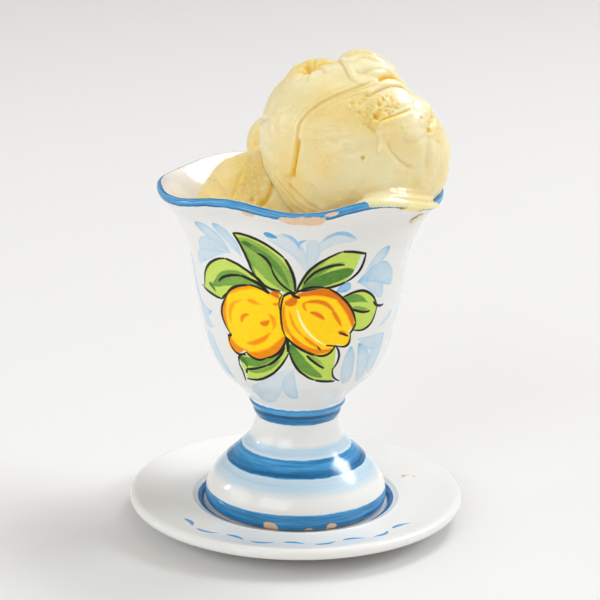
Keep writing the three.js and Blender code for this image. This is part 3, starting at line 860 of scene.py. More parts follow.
def makeRimPaint():
    look = rimBand
    material, tree, shader = newMaterial("rimPaint")
    across, _, _ = splitVector(tree, useGroup(tree, wallPlace, Wobble=0.0)["Place"])
    place = joinVector(tree, across, readMask(tree, "wall"), 1.0)
    shake = addNoise(tree, place, look["shakes"], detail=3.0, stretch=(1, 0.3, 1)).outputs["Fac"]
    shake = calc(tree, "SUBTRACT", shake, 0.5)
    wall = calc(tree, "MULTIPLY_ADD", shake, look["wobble"], readMask(tree, "wall"))
    streaks = addNoise(tree, place, 1.0, detail=4.0, rough=0.65, stretch=look["streakStretch"]).outputs["Fac"]
    # darker along both edges and lighter in the middle: partly paint the brush left along the edges, partly
    # painted shade where the rounded lip turns away and a painted highlight along its top
    middle, half = 0.5 * (look["from"] + look["to"]), 0.5 * (look["to"] - look["from"])
    edge = calc(tree, "ABSOLUTE", calc(tree, "DIVIDE", calc(tree, "SUBTRACT", wall, middle), half))
    paint = calc(tree, "MULTIPLY_ADD", streaks, *look["streaks"])
    paint = calc(tree, "MULTIPLY_ADD", calc(tree, "POWER", edge, look["edgeFall"]), look["edgePaint"], paint)
    paint = calc(tree, "MULTIPLY", addBand(tree, wall, look, (look["soft"], look["soft"])), paint)
    colour = useGroup(tree, cobaltPaint, Paint=paint)["Colour"]
    finishGlaze(tree, shader, colour, addChips(tree, place, look["chips"]))
    return material


def makePlainGlaze(name, chip):
    material, tree, shader = newMaterial(name)
    finishGlaze(tree, shader, (*glazeLook["white"], 1), chip)
    return material


# cup

cupShape = {
    "turnSteps": 144,
    "footInside": [(0, 30.6), (7, 29.8), (14, 26.6), (20.5, 21.4), (26, 14.5), (28.9, 8.6), (29.4, 6)],
    "footOutside": [(32.6, 6), (33.6, 7.6), (33.7, 9.5), (33, 14), (30, 19), (25.3, 24), (21, 28), (17.7, 32),
                    (15.9, 36), (15, 40.2)],
    "collar": [(16, 41.4), (16.3, 42.8), (16.2, 43.7), (17.3, 44.8), (17.8, 46), (17.3, 46.9)],
    "bowlOutside": [(17.7, 47.8), (22.5, 53), (27.9, 58), (31.7, 65), (34.5, 73), (36.3, 82), (38, 91),
                    (39.2, 100), (40.6, 108), (43.1, 114), (45.8, 119.6), (50.7, 125.2)],
    "bowlInside": [(48.3, 127.6), (43.9, 122.4), (40.2, 116), (37.4, 109), (35.4, 100.5), (34, 91),
                   (32.4, 82), (30.4, 73.5), (27.6, 66.5), (23.6, 60.8), (18, 56.2), (10.5, 53.2), (0, 52.2)],
    "lipCentre": (49.5, 126.4), "lipRadius": 1.7, "lipArc": (-20, 110, 9),
    "spacing": {"footInside": 3.0, "footOutside": 1.6, "collar": 0.8, "bowlOutside": 2.0, "bowlInside": 2.6},
    # the rim's waves: how many round it, then the cosine's and the sine's height
    "waves": [(1, 1.1, -0.2), (2, 1.2, 0.2), (3, -0.2, 0.2), (4, -0.5, -0.2), (5, -0.2, 0.35),
              (6, -1.15, -0.3)],
    "waveStart": 88.0, "rimHeight": 126.4, "flarePerDrop": 0.37, "rimShift": -0.2,
    # hand-thrown: how far from round the bowl is, how often round it, its twist, and where that comes in
    "wobble": 0.12, "wobbles": 3, "twist": 19, "wobbleFrom": (50, 70),
    "chipDepth": 0.35, "chipEdge": (0.7, 1.15),
    # where one paint ends and the next begins: by height, and on the lip by the distance from its edge
    "footWall": (31.0, 12.0), "bandTop": 48.5, "hollowGlaze": 8.0, "standTop": 6.3, "standSlope": -0.6,
    "lipPaint": (-4.5, 4.0),
}


def rimWave(around):
    return sum(c * np.cos(n * around) + s * np.sin(n * around) for n, c, s in cupShape["waves"])


def waveRim(points):
    blend = smoothstep(cupShape["waveStart"], cupShape["rimHeight"], points[:, 2])
    wave = rimWave(np.arctan2(points[:, 0], -points[:, 1])) * blend
    radius = np.maximum(np.hypot(points[:, 0], points[:, 1]), 0.001)
    stretch = 1 - cupShape["flarePerDrop"] * wave / radius
    return np.column_stack([points[:, 0] * stretch + cupShape["rimShift"] * blend, points[:, 1] * stretch,
                            points[:, 2] + wave])


def chipDepth(across, level, chips):
    # how deep the chips go at each point of the wall
    depth = np.zeros(len(across))
    for centre, size in chips:
        reach = np.hypot((across - centre[0]) / size[0], (level - centre[1]) / size[1])
        depth += cupShape["chipDepth"] * (1 - smoothstep(*cupShape["chipEdge"], reach))
    return depth


def makeCup():
    shape = cupShape
    sections = {name: smoothLine(shape[name], spacing) for name, spacing in shape["spacing"].items()}
    lip = arcLine(shape["lipCentre"], shape["lipRadius"], *shape["lipArc"])
    outline = sections["footInside"] + sections["footOutside"] + sections["collar"]
    outline += sections["bowlOutside"] + lip + sections["bowlInside"]
    cup = turnOutline("cupPiece", outline, shape["turnSteps"])
    points = getPoints(cup)
    radius = np.hypot(points[:, 0], points[:, 1])
    # distance along the outline, 0 at the lip's outermost point
    steps = np.array(outline)
    travelled = np.concatenate([[0], np.cumsum(np.linalg.norm(np.diff(steps, axis=0), axis=1))])
    nearest = [np.argmin(((steps - spot) ** 2).sum(1)) for spot in np.column_stack([radius, points[:, 2]])]
    lipEdge = travelled[np.argmax(steps[:, 0])]
    setMask(cup, "wall", travelled[nearest] - lipEdge)
    waved = waveRim(points)
    turn = shape["wobbles"] * np.arctan2(points[:, 0], points[:, 1]) + points[:, 2] / shape["twist"]
    wobble = shape["wobble"] * np.sin(turn) * smoothstep(*shape["wobbleFrom"], points[:, 2])
    waved[:, :2] *= (1 + wobble / np.maximum(radius, 5))[:, None]
    setPoints(cup, waved)
    applyModifier(cup, "SUBSURF", levels=1, render_levels=1)
    points = getPoints(cup)
    wall = np.zeros(len(points))
    cup.data.attributes["wall"].data.foreach_get("value", wall)
    across = np.arctan2(points[:, 0], -points[:, 1]) * wallRadius
    radius = np.hypot(points[:, 0], points[:, 1])
    outward = np.column_stack([points[:, 0], points[:, 1], np.zeros(len(points))])
    outward /= np.maximum(radius, 0.001)[:, None]
    footOut, footTop = shape["footWall"]
    footWall = (radius > footOut) & (points[:, 2] < footTop)
    depth = chipDepth(across, wall, rimBand["chips"])
    depth += chipDepth(across, points[:, 2], bandLook["chips"]) * footWall
    setPoints(cup, points - outward * depth[:, None])
    # each part of the wall has its own paint
    plain, rim, bowl, band, bare = range(5)
    for material in (plainGlaze, rimPaint, bowlPaint, bandPaint, bareClay):
        cup.data.materials.append(material)
    footStart = travelled[len(sections["footInside"]) - 1] - lipEdge
    lipStart, lipEnd = shape["lipPaint"]
    slots = np.full(len(cup.data.polygons), plain, np.int32)
    for face in cup.data.polygons:
        along = np.mean([wall[v] for v in face.vertices])
        height = face.center.z / mm
        if along < footStart:
            slots[face.index] = plain if height > shape["hollowGlaze"] else bare
        elif along < lipStart:
            stands = height < shape["standTop"] and face.normal.z < shape["standSlope"]
            slots[face.index] = bare if stands else band if height < shape["bandTop"] else bowl
        elif along < lipEnd:
            slots[face.index] = rim
    cup.data.polygons.foreach_set("material_index", slots)
    makeActive(cup)
    bpy.ops.object.shade_smooth()
    finishPiece(cup, "cup")
    print("cup made:", len(cup.data.polygons), "faces")


# saucer

saucerShape = {
    "turnSteps": 160,
    "underside": [(0, 1.6), (12, 1.6), (23.2, 1.6), (23.7, 0.5), (24, 0), (26, 0), (28, 0), (28.6, 0.5),
                  (29.2, 1.9), (36, 2.8), (44, 3.9), (50, 5.1), (56, 6.4)],
    "lipCentre": (59.77, 9), "lipRadius": 2.0, "lipArc": (-66, 98, 14),
    "top": [(57, 10.5), (53.5, 9.7), (50, 9), (47, 8.6), (44, 8.3), (42, 8.15), (40, 8.1), (39.2, 8.15),
            (38.6, 8.3), (38.1, 8.1), (37.6, 7.8), (36.9, 7.6), (36.2, 7.4), (35.5, 7.1), (34.8, 6.8),
            (34.5, 6.2), (34.2, 5.8), (33.4, 5.7), (24, 5.7), (12, 5.7), (0, 5.7)],
    # the edge sags a hair, as a thin plate does in the kiln: how far, how often round it and where
    "sag": 0.18, "sags": 2, "sagTurn": 0.6, "sagFrom": 36, "sagTo": 60,
    "standTop": 0.4,  # the unglazed ring that it stands on ends here
    "underSlope": -0.2,
}
# the ring of blue in the well, with a gap at the front
wellRing = {"from": 34.3, "to": 36.5, "gapMiddle": 4, "gapHalf": 43, "gapFade": 4, "paint": 0.85,
            "shakes": 0.3, "wobble": 0.5, "soft": (0.1, 0.15)}
# a garland of plain comma strokes along the saucer's front: angles round, distance out and their form
garland = {"first": -50, "last": 50, "count": 9, "out": 50.5, "lean": 4.2, "reach": 3.1, "width": 1.15,
           "bend": 0.16, "paint": 0.62, "streaks": (0.6, 0.62)}


def makeSaucerPaint():
    # places on the saucer are (angle round x garland's distance out, distance out)
    material, tree, shader = newMaterial("saucerPaint")
    x, y, _ = splitVector(tree, objectPlace(tree))
    around = calc(tree, "ARCTAN2", x, calc(tree, "MULTIPLY", y, -1.0))
    out = calc(tree, "ADD", calc(tree, "MULTIPLY", x, x), calc(tree, "MULTIPLY", y, y))
    out = calc(tree, "DIVIDE", calc(tree, "SQRT", out), mm)
    place = joinVector(tree, calc(tree, "MULTIPLY", around, garland["out"]), out, 1.0)
    shake = calc(tree, "SUBTRACT", addNoise(tree, place, wellRing["shakes"]).outputs["Fac"], 0.5)
    shaken = calc(tree, "MULTIPLY_ADD", shake, wellRing["wobble"], out)
    ring = addBand(tree, shaken, wellRing, wellRing["soft"])
    away = calc(tree, "ABSOLUTE", calc(tree, "SUBTRACT", around, math.radians(wellRing["gapMiddle"])))
    gapStart, gapEnd = wellRing["gapHalf"], wellRing["gapHalf"] + wellRing["gapFade"]
    ring = calc(tree, "MULTIPLY", ring, fromTo(tree, away, math.radians(gapStart), math.radians(gapEnd)))
    blue = calc(tree, "MULTIPLY", ring, wellRing["paint"])
    for i, middle in enumerate(np.linspace(garland["first"], garland["last"], garland["count"])):
        up = 1 if i % 2 else -1
        centre, rise = math.radians(middle) * garland["out"], up * garland["reach"] * 0.5
        start = (centre - garland["lean"], garland["out"] + rise)
        end = (centre + garland["lean"], garland["out"] - rise)
        line = mark(start, end, garland["bend"] * up, garland["width"], headPaint=0.2, tailPaint=0.1)
        blue = addStroke(tree, place, blue, line, paint=garland["paint"], edgePaint=0.1)["Paint"]
    streaks = addNoise(tree, place, 1.0, detail=3.0, stretch=(0.2, 1.6, 1)).outputs["Fac"]
    blue = addUneven(tree, blue, streaks, garland["streaks"])
    finishGlaze(tree, shader, useGroup(tree, cobaltPaint, Paint=blue)["Colour"])
    return material


def makeSaucer():
    shape = saucerShape
    lip = arcLine(shape["lipCentre"], shape["lipRadius"], *shape["lipArc"])
    saucer = turnOutline("saucerPiece", shape["underside"] + lip + shape["top"], shape["turnSteps"])
    applyModifier(saucer, "SUBSURF", levels=1, render_levels=1)
    points = getPoints(saucer)
    around = np.arctan2(points[:, 0], -points[:, 1])
    outer = smoothstep(shape["sagFrom"], shape["sagTo"], np.hypot(points[:, 0], points[:, 1]))
    points[:, 2] += shape["sag"] * (np.sin(shape["sags"] * around + shape["sagTurn"]) - 1) * outer
    setPoints(saucer, points)
    painted, plain, bare = range(3)
    for material in (saucerPaint, plainGlaze, bareClay):
        saucer.data.materials.append(material)
    for face in saucer.data.polygons:
        under = bare if face.center.z < shape["standTop"] * mm else plain
        face.material_index = under if face.normal.z < shape["underSlope"] else painted
    makeActive(saucer)
    bpy.ops.object.shade_smooth()
    finishPiece(saucer, "saucer")
    print("saucer made:", len(saucer.data.polygons), "faces")


# ice cream

creamLook = {
    # deep is the colour of the creases and pits, and torn that of torn places, most in their hollows: darker,
    # deeper yellows that are partly the cream's own colour and partly painted shade
    "light": (0.975, 0.815, 0.49), "middle": (0.97, 0.725, 0.30), "deep": (0.95, 0.62, 0.03),
    "torn": (0.96, 0.68, 0.15), "cloudScale": 38.0, "clouds": (0.36, 0.66), "creaseFall": 1.2,
    # painted light: the upper right, where the light falls, is mixed towards the pale colour along a
    # direction from a place: where that starts and ends (metres), and how much
    "pale": (1.0, 0.92, 0.72), "paleFrom": (18, 0, 142), "paleTowards": (0.5, 0.0, 0.866),
    "paleReach": (0.019, 0.042), "paleUneven": 0.016, "paleMost": 0.72,
    # tiny ice crystals and painted glints, as pale specks in patches
    "crystal": (1.0, 0.97, 0.86), "crystalScale": 1500.0, "crystals": (0.56, 0.7), "crystalMost": 0.6,
    "patchScale": 95.0, "patches": (0.5, 0.68),
    # the surface: soft dimples, wide swirls and what the scoop dragged out sideways
    "softScale": 420.0, "swirlScale": 110.0, "dragStretch": (160, 160, 520),
    "soft": 0.5, "swirl": 1.4, "drag": 0.22, "grain": 0.1, "tornHeight": 1.2,
    "bump": 0.55, "bumpHeight": 0.0005,
    "roughness": 0.20, "unevenGloss": 0.24, "tornRoughness": 0.15,
    "subsurface": 0.8, "scatter": 0.0032, "scatterColours": (1.0, 0.75, 0.38), "ior": 1.45,
    "coat": 0.3, "coatRoughness": 0.28,
}


def foldLine(route, width, depth, step, lip, lean, colour, stepEnd=None):
    # a fold along a route of (angle round, angle up): its width and depth, how much higher its left stands
    # (and at its end, where that changes), its lip, how far the higher side leans over and how deep its
    # colour is
    return {"route": route, "width": width, "depth": depth, "step": step, "lip": lip, "lean": lean,
            "colour": colour, "stepEnd": step if stepEnd is None else stepEnd}


frontScoop = {
    "centre": (18, -6, 142), "radii": (32.6, 32.4, 32.6), "voxel": 0.49, "smooth": 4, "ceiling": 176.8,
    "fineness": 6, "beside": [((14, -8, 109), (27, 24, 14))], "fillTop": 110,
    # soft lumps and hollows: angle round, angle up, reach, height
    "lumps": [
        # the curled lobe on top, the shoulder beside it and the bulges under it
        (75, 76, 14, 1.4), (141, 69, 3.5, 0.7), (70, 66, 4, 0.8), (63, 52, 5, -1.7), (58, 45, 4, -0.8),
        (88, 22, 4, -1.0), (31, 72, 9, 1.5), (108, 45, 15, -4.6), (109, 49, 8, -3.6), (96, 48, 7, -1.2),
        (103, 38, 4, -0.8), (44, 38, 9, 1.5), (84, 2, 18, 1.2),
        (84, -24, 14, 2.4), (85, -15, 8, -0.8), (99, 27, 5, 0.8), (97, 20, 3.5, -1.2), (62, 31, 6, 0.9),
        (50, 12, 9, 0.9),
        # the left shoulder, its torn crest and the hollow in front of the crest
        (-112, 52, 14, 1.4), (-99, 27, 12, 1.3), (-101, 52, 2.6, 1.2), (-117, 58, 3.2, 0.7),
        (-112, 66, 3.2, -0.3), (-132, 68, 4.0, -1.6),
        (-107, 44, 3.0, -0.7), (-106, 50, 2.5, -0.5),
        (-74, 60.5, 3.8, -4.8), (-52, 40, 16, 0.5),
        # the notch between the crest and the lobe
        (-149, 71, 4.0, -3.0), (-113, 79, 4.0, -3.2), (-55, 77, 4.0, -1.6), (-160, 60, 4.6, -2.8),
        (-166, 49, 5.0, -1.8),
        # the face
        (26, 6, 5, -0.5), (34, -4, 6, -0.7), (-10, 10, 18, 0.4), (-20, -20, 12, 0.5),
        (-150, 15, 18, -1.6), (150, 15, 20, 1.2),
        (20, 18, 5, 0.5), (2, 22, 7, -0.4), (38, 20, 5, 0.5), (-30, 24, 7, 0.35), (-46, 2, 7, -0.35),
        (8, -6, 8, 0.4),
    ],
    "folds": [
        # the long crease: a slit low down, and a bundle of fine grooves over the shoulder
        foldLine([(-41, -11), (-39, -2), (-37.5, 7), (-37, 15)], 0.9, 1.5, 0.4, 0.25, 0.3, 1.0),
        foldLine([(-38, 6), (-38, 15), (-38, 23), (-34, 31), (-27, 38), (-17, 44), (-4, 49), (10, 52.5),
                  (22, 55)],
                 0.6, 0.45, 0.5, 0.25, 0.35, 0.3),
        foldLine([(-44, 10), (-43, 20), (-40, 29), (-33, 37), (-23, 44), (-10, 50), (6, 55)],
                 0.55, 0.22, 0.14, 0.1, 0.1, 0.05),
        foldLine([(-33, 16), (-32, 25), (-26, 33), (-16, 39.5), (-4, 44), (10, 47)],
                 0.55, 0.24, 0.12, 0.12, 0.1, 0.1),
        foldLine([(-20, 40), (-10, 44.5), (2, 48), (14, 50.5), (24, 52)], 0.5, 0.3, 0.1, 0.12, 0.1, 0.35),
        # the left end and lower edge of the curled lobe
        foldLine([(-178, 52), (-162, 66), (-148, 74), (-100, 83), (-50, 77), (-24, 71), (-12, 64),
                  (-5, 57), (3, 51)],
                 0.7, 0.6, 2.7, 0.3, 0.7, 0.25, stepEnd=0.3),
        foldLine([(21, 54), (29, 56.5), (39, 57.5), (49, 56), (58, 52), (66, 47)],
                 1.1, 2.0, 0.8, 0.4, 0.5, 1.0),
        # wrinkles over the lobe
        foldLine([(-60, 80), (-12, 78), (25, 81), (40, 76), (62, 73)], 0.9, 0.7, 0.1, 0.2, 0.2, 0.4),
        foldLine([(-20, 70), (-4, 68), (14, 72), (30, 68), (48, 65)], 1.0, 0.5, 0.3, 0.4, 0.2, 0.15),
        foldLine([(-4, 61), (8, 60.5), (20, 62), (34, 61), (46, 59)], 1.0, 0.4, 0.2, 0.3, 0.2, 0.1),
        foldLine([(9, 42.5), (15, 46), (25, 49), (37, 49.5), (48, 47.5), (58, 43)],
                 0.7, 0.7, 0.6, 0.3, 0.5, 0.4),
        # the slit in the face and the valleys right of it
        foldLine([(14, 26), (19, 27.6), (26, 29), (34, 30.5), (43, 32)], 0.6, 1.3, -0.8, 0.45, 0.7, 0.8),
        foldLine([(70, 25), (61, 23), (54, 19), (50, 12), (49, 3), (51, -5)],
                 1.5, 0.6, 0.35, 0.2, 0.2, 0.1),
        foldLine([(19, 17), (21, 12), (24, 8), (29, 3), (34, -0.5), (40, -2)],
                 1.1, 0.9, -0.4, 0.4, 0.3, 0.15),
        foldLine([(11, 28), (14, 21), (15, 14), (13, 7)], 1.2, 0.35, 0.25, 0.15, 0.1, 0.05),
        foldLine([(30, 17), (36, 14), (42, 14), (47, 17)], 1.0, 0.4, 0.2, 0.2, 0.1, 0.1),
        # folds fanning out of the torn hollow
        foldLine([(-74, 62), (-70, 55), (-66, 48)], 0.6, 1.0, 0.3, 0.2, 0.1, 0.5),
        foldLine([(-72, 62), (-60, 57), (-50, 50)], 0.6, 0.9, 0.3, 0.2, 0.1, 0.4),
        foldLine([(-76, 62), (-82, 54), (-84, 46)], 0.6, 0.9, 0.3, 0.2, 0.1, 0.4),
        foldLine([(-72, 63), (-52, 63), (-36, 59)], 0.6, 0.45, 0.2, 0.2, 0.1, 0.3),
        foldLine([(-76, 63), (-70, 68), (-56, 71), (-38, 73)], 0.9, 1.0, 0.5, 0.4, 0.3, 0.85),
        # low on the left
        foldLine([(-60, -13), (-50, -20), (-41, -27), (-32, -33)], 1.1, 0.7, 0.5, 0.3, 0.4, 0.35),
        foldLine([(-44, -14), (-36, -21), (-28, -27), (-18, -32)], 1.0, 0.6, 0.4, 0.25, 0.3, 0.35),
        # round the back
        foldLine([(150, 60), (170, 40), (-170, 22), (-150, -4)], 1.2, 1.0, 0.6, 0.3, 0.4, 0.4),
        foldLine([(100, 30), (120, 14), (140, 4), (160, -12)], 1.2, 0.8, -0.5, 0.3, 0.4, 0.3),
        foldLine([(-70, 20), (-95, 14), (-120, 4)], 1.2, 0.4, 0.3, 0.2, 0.3, 0.05),
        foldLine([(-120, 40), (-140, 30), (-170, 26), (160, 30)], 0.8, 0.5, 0.4, 0.2, 0.3, 0.2),
    ],
    # small holes: angle round, angle up, radius, depth
    "pits": [(10, 45, 0.7, 0.9), (-3, 39, 0.65, 0.7), (18, 38, 0.7, 0.7), (15, 31, 1.0, 1.5),
             (9, 25, 0.5, 0.5), (53, 18, 0.75, 1.3),
             (5, 6, 0.65, 1.2), (-26, -13, 0.45, 0.5), (30, 22, 0.5, 0.4), (-75, 60.5, 2.0, 2.0),
             (-65, 60, 1.2, 1.2), (-86, 59.5, 1.2, 1.2), (5, -9, 0.4, 0.4), (-27, 30, 0.5, 0.4),
             (22, 41, 0.5, 0.5), (2, 33, 0.5, 0.5), (60, 10, 0.6, 0.5), (66, 16, 0.5, 0.5),
             (48, 26, 0.6, 0.5)],
    # rough, torn places: angle round, angle up, reach, height, scale
    "torn": [(-100, 60, 5.0, 0.7, 0.5), (-80, 66, 4.0, 0.7, 0.55), (60, 83, 6.0, 0.7, 0.5),
             (20, 78, 4.0, 0.4, 0.6),
             (5, 37, 4.5, 0.32, 0.6), (12, 30, 4.5, 0.34, 0.6), (24, 36, 5.5, 0.34, 0.5),
             (58, 22, 5.0, 0.3, 0.6), (-108, 20, 6.0, 0.4, 0.5)],
}


def ballDirection(around, up):
    a, e = math.radians(around), math.radians(up)
    return np.array([math.cos(e) * math.sin(a), -math.cos(e) * math.cos(a), math.sin(e)])


def ballRoute(stops):
    line = np.array(smoothLine([ballDirection(*stop) for stop in stops], 0.04))
    return line / np.linalg.norm(line, axis=1)[:, None]


# what every fold has: how far from its route it still counts (in radii), how soon it fades in and out (a
# share of its length) and how far the raised side, its lip, the colour and the lean reach (in its widths,
# and then some millimetres more)
foldForm = {"reach": 0.35, "fade": 0.14, "raised": 5, "raisedMore": 3, "lipPlace": 1.6, "lipWidth": 1.1,
            "colour": 0.9, "colourMore": 0.1, "lean": 0.9}


def foldRelief(towards, radius, fold, height, crease, shift):
    form, width, step = foldForm, fold["width"], fold["step"]
    route = ballRoute(fold["route"])
    middle = route.mean(0)
    reach = np.linalg.norm(route - middle, axis=1).max() + form["reach"]
    near = np.where(np.linalg.norm(towards - middle, axis=1) < reach)[0]
    points = towards[near]
    best = np.full(len(near), 1e9)
    side, share = np.zeros(len(near)), np.zeros(len(near))
    away = np.zeros((len(near), 3))
    for i in range(len(route) - 1):
        ahead = route[i + 1] - route[i]
        t = np.clip(((points - route[i]) @ ahead) / (ahead @ ahead), 0, 1)
        gap = points - (route[i] + t[:, None] * ahead)
        distance = np.linalg.norm(gap, axis=1)
        closer = distance < best
        best[closer] = distance[closer]
        away[closer] = gap[closer]
        side[closer] = np.sign((np.cross(ahead, gap[closer]) * points[closer]).sum(1))
        share[closer] = (i + t[closer]) / (len(route) - 1)
    distance = best * radius
    fade = smoothstep(0, form["fade"], share) * smoothstep(1, 1 - form["fade"], share)
    fade = np.where((share <= 0) | (share >= 1), 0, fade)
    higher = smoothstep(-0.5 * width, 0.5 * width, distance * side)
    up = higher if step > 0 else 1 - higher
    groove = -fold["depth"] * bell(distance / width)
    rise = abs(step) + (abs(fold["stepEnd"]) - abs(step)) * share
    shelf = rise * up * np.exp(-distance / (form["raised"] * width + form["raisedMore"]))
    lip = fold["lip"] * up * bell((distance - form["lipPlace"] * width) / (form["lipWidth"] * width))
    height[near] += (groove + shelf + lip) * fade
    # the crease colour is partly the cream's own deeper yellow and partly painted shade in the groove
    coloured = bell(distance / (form["colour"] * width + form["colourMore"])) * fade * fold["colour"]
    crease[near] = np.maximum(crease[near], coloured)
    lean = fold["lean"] * up * fade * bell((distance - form["lean"] * width) / (form["lean"] * width))
    shift[near] -= away / np.maximum(best, 1e-6)[:, None] * lean[:, None]


# what every scoop's skin has: slow swells as (height, scale, seed), the drag marks between them, the raised
# rims and the colour of the pits, the ridges of the torn places, and where the skin lies (in radii)
creamSkin = {"swells": [(0.42, 3.0, 3.1), (0.24, 8.0, 8.2)], "drag": 0.2, "dragScale": 5.0, "dragFlat": 2.2,
             "dragSeed": 1.7, "pitRim": 0.22, "pitRimPlace": 1.9, "pitRimWidth": 0.8, "pitColour": 0.8,
             "tornReach": 2.2, "ridgeBase": 0.35, "hollows": (1.1, 1.3), "underCeiling": 0.3,
             "skinFrom": (0.86, 0.95), "skinTo": (1.22, 1.1)}


def sculptBall(points, scoop, weight):
    skin, radius = creamSkin, scoop["radii"][0]
    offset = points - np.array(scoop["centre"], float)
    towards = offset / np.maximum(np.linalg.norm(offset, axis=1), 0.001)[:, None]
    height, crease = np.zeros(len(points)), np.zeros(len(points))
    torn, shift = np.zeros(len(points)), np.zeros((len(points), 3))

    def distanceFrom(around, up):
        return radius * np.linalg.norm(towards - ballDirection(around, up), axis=1)

    for around, up, reach, rise in scoop["lumps"]:
        height += rise * bell(distanceFrom(around, up) / reach)
    for rise, scale, seed in skin["swells"]:
        height += rise * noiseAt(towards, scale, seed=seed)
    dragged = noiseAt(towards * (1, 1, skin["dragFlat"]), skin["dragScale"], seed=skin["dragSeed"])
    height -= skin["drag"] * np.abs(dragged)
    for fold in scoop["folds"]:
        foldRelief(towards, radius, fold, height, crease, shift)
    for around, up, size, depth in scoop["pits"]:
        distance = distanceFrom(around, up)
        hole = bell(distance / size)
        raised = bell((distance - skin["pitRimPlace"] * size) / (skin["pitRimWidth"] * size))
        height += skin["pitRim"] * depth * raised - depth * hole
        # pits take the crease colour: partly the cream's own deeper yellow, partly painted shade in the hole
        crease = np.maximum(crease, hole * min(1, skin["pitColour"] * depth))
    for around, up, reach, rise, scale in scoop["torn"]:
        distance = distanceFrom(around, up)
        near = np.where(distance < skin["tornReach"] * reach)[0]
        window = np.exp(-((distance[near] / reach) ** 4))
        ridges = 1 - 2 * np.abs(noiseAt(points[near], scale, seed=around * 0.1, octaves=3))
        height[near] += rise * window * (ridges - skin["ridgeBase"])
        # the torn colour is strongest in the hollows between the ridges: partly the cream's own colour,
        # partly painted shade
        most, fall = skin["hollows"]
        torn[near] = np.maximum(torn[near], window * np.clip(most - fall * ridges, 0, 1))
    moved = points + (towards * height[:, None] + shift) * weight[:, None]
    # nothing rises much over the scoop's ceiling
    over = np.maximum(moved[:, 2] - scoop["ceiling"], 0)
    moved[:, 2] -= (1 - skin["underCeiling"]) * over
    return moved, crease * weight, torn * weight


def bowlWallRadius(heights, around):
    # how far out the inside of the bowl is, at a height and an angle
    shape = cupShape
    wall = np.array(smoothLine(shape["bowlInside"], 1.0))[::-1]
    wave = rimWave(around)
    level = heights.copy()
    for _ in range(2):
        blend = smoothstep(shape["waveStart"], shape["rimHeight"], level)
        level = heights - wave * blend
    return np.interp(level, wall[:, 1], wall[:, 0]) - shape["flarePerDrop"] * wave * blend


# below the rim, what would stand in the bowl's wall moves in to this gap from it
bowlFit = {"gap": 0.15, "underRim": 0.6, "wall": 6.0}


def keepInBowl(points):
    around = np.arctan2(points[:, 0], -points[:, 1])
    radius = np.hypot(points[:, 0], points[:, 1])
    rim = cupShape["rimHeight"] + rimWave(around) - bowlFit["underRim"]
    limit = bowlWallRadius(points[:, 2], around) - bowlFit["gap"]
    inside = (points[:, 2] < rim) & (radius > limit) & (radius < limit + bowlFit["wall"])
    scale = np.where(inside, limit / np.maximum(radius, 0.001), 1)
    return np.column_stack([points[:, 0] * scale, points[:, 1] * scale, points[:, 2]])


def addBlob(centre, radii, subdivisions=5):
    deselectAll()
    bpy.ops.mesh.primitive_ico_sphere_add(subdivisions=subdivisions, radius=1, location=(0, 0, 0))
    blob = bpy.context.object
    bpy.ops.transform.resize(value=tuple(r * mm for r in radii))
    bpy.ops.transform.translate(value=tuple(c * mm for c in centre))
    settle(blob)
    return blob


fillShape = {"bottom": 53.4, "cut": 102.0, "overlap": 4.0, "gap": 0.3, "splitX": -3.0, "splitY": 8.0,
             "steps": 64, "levels": 7}


def addFill(low, high, cuts):
    # a filling of the bowl between two heights; each cut is an axis, a place and which side of it stays
    levels = np.linspace(low, high, fillShape["levels"])
    wall = np.array(smoothLine(cupShape["bowlInside"], 1.0))[::-1]
    side = [(np.interp(z, wall[:, 1], wall[:, 0]) - fillShape["gap"], z) for z in levels]
    fill = turnOutline("fill", [(0, low)] + side + [(0, high)], fillShape["steps"])
    for axis, place, keep in cuts:
        spot, facing = [0.0, 0.0, 0.0], [0.0, 0.0, 0.0]
        spot["xyz".index(axis)] = place * mm
        facing["xyz".index(axis)] = 1.0
        cutPiece(fill, spot, facing, keep)
    return fill


def cutPiece(piece, spot, facing, keep):
    # keeps what lies on one side of a plane, and closes the cut
    makeActive(piece)
    bpy.ops.object.mode_set(mode="EDIT")
    bpy.ops.mesh.select_all(action="SELECT")
    bpy.ops.mesh.bisect(plane_co=spot, plane_no=facing, use_fill=True, clear_inner=keep > 0,
                        clear_outer=keep < 0)
    bpy.ops.object.mode_set(mode="OBJECT")


meltedSkirt = {
    # the layers of the front scoop that run over the rim: angle round, half span, distance out, height over
    # the rim's wave, half width, half height, how rippled it is and how far its left end droops
    "layers": [
        {"middle": 47, "halfSpan": 25, "out": 48.2, "height": 126.7, "halfWidth": 4.3, "halfHeight": 2.8,
         "ripple": 0.3, "droop": 0.5},
        {"middle": 50, "halfSpan": 22, "out": 46.5, "height": 129.7, "halfWidth": 4.4, "halfHeight": 1.7,
         "ripple": 0.45, "droop": 2.2},
        {"middle": 53, "halfSpan": 21, "out": 44.4, "height": 132.0, "halfWidth": 4.6, "halfHeight": 1.8,
         "ripple": 0.6, "droop": 3.4},
    ],
    "often": 9, "rippleUp": 0.6, "bunched": 1.15, "segments": 96, "rings": 32,
}


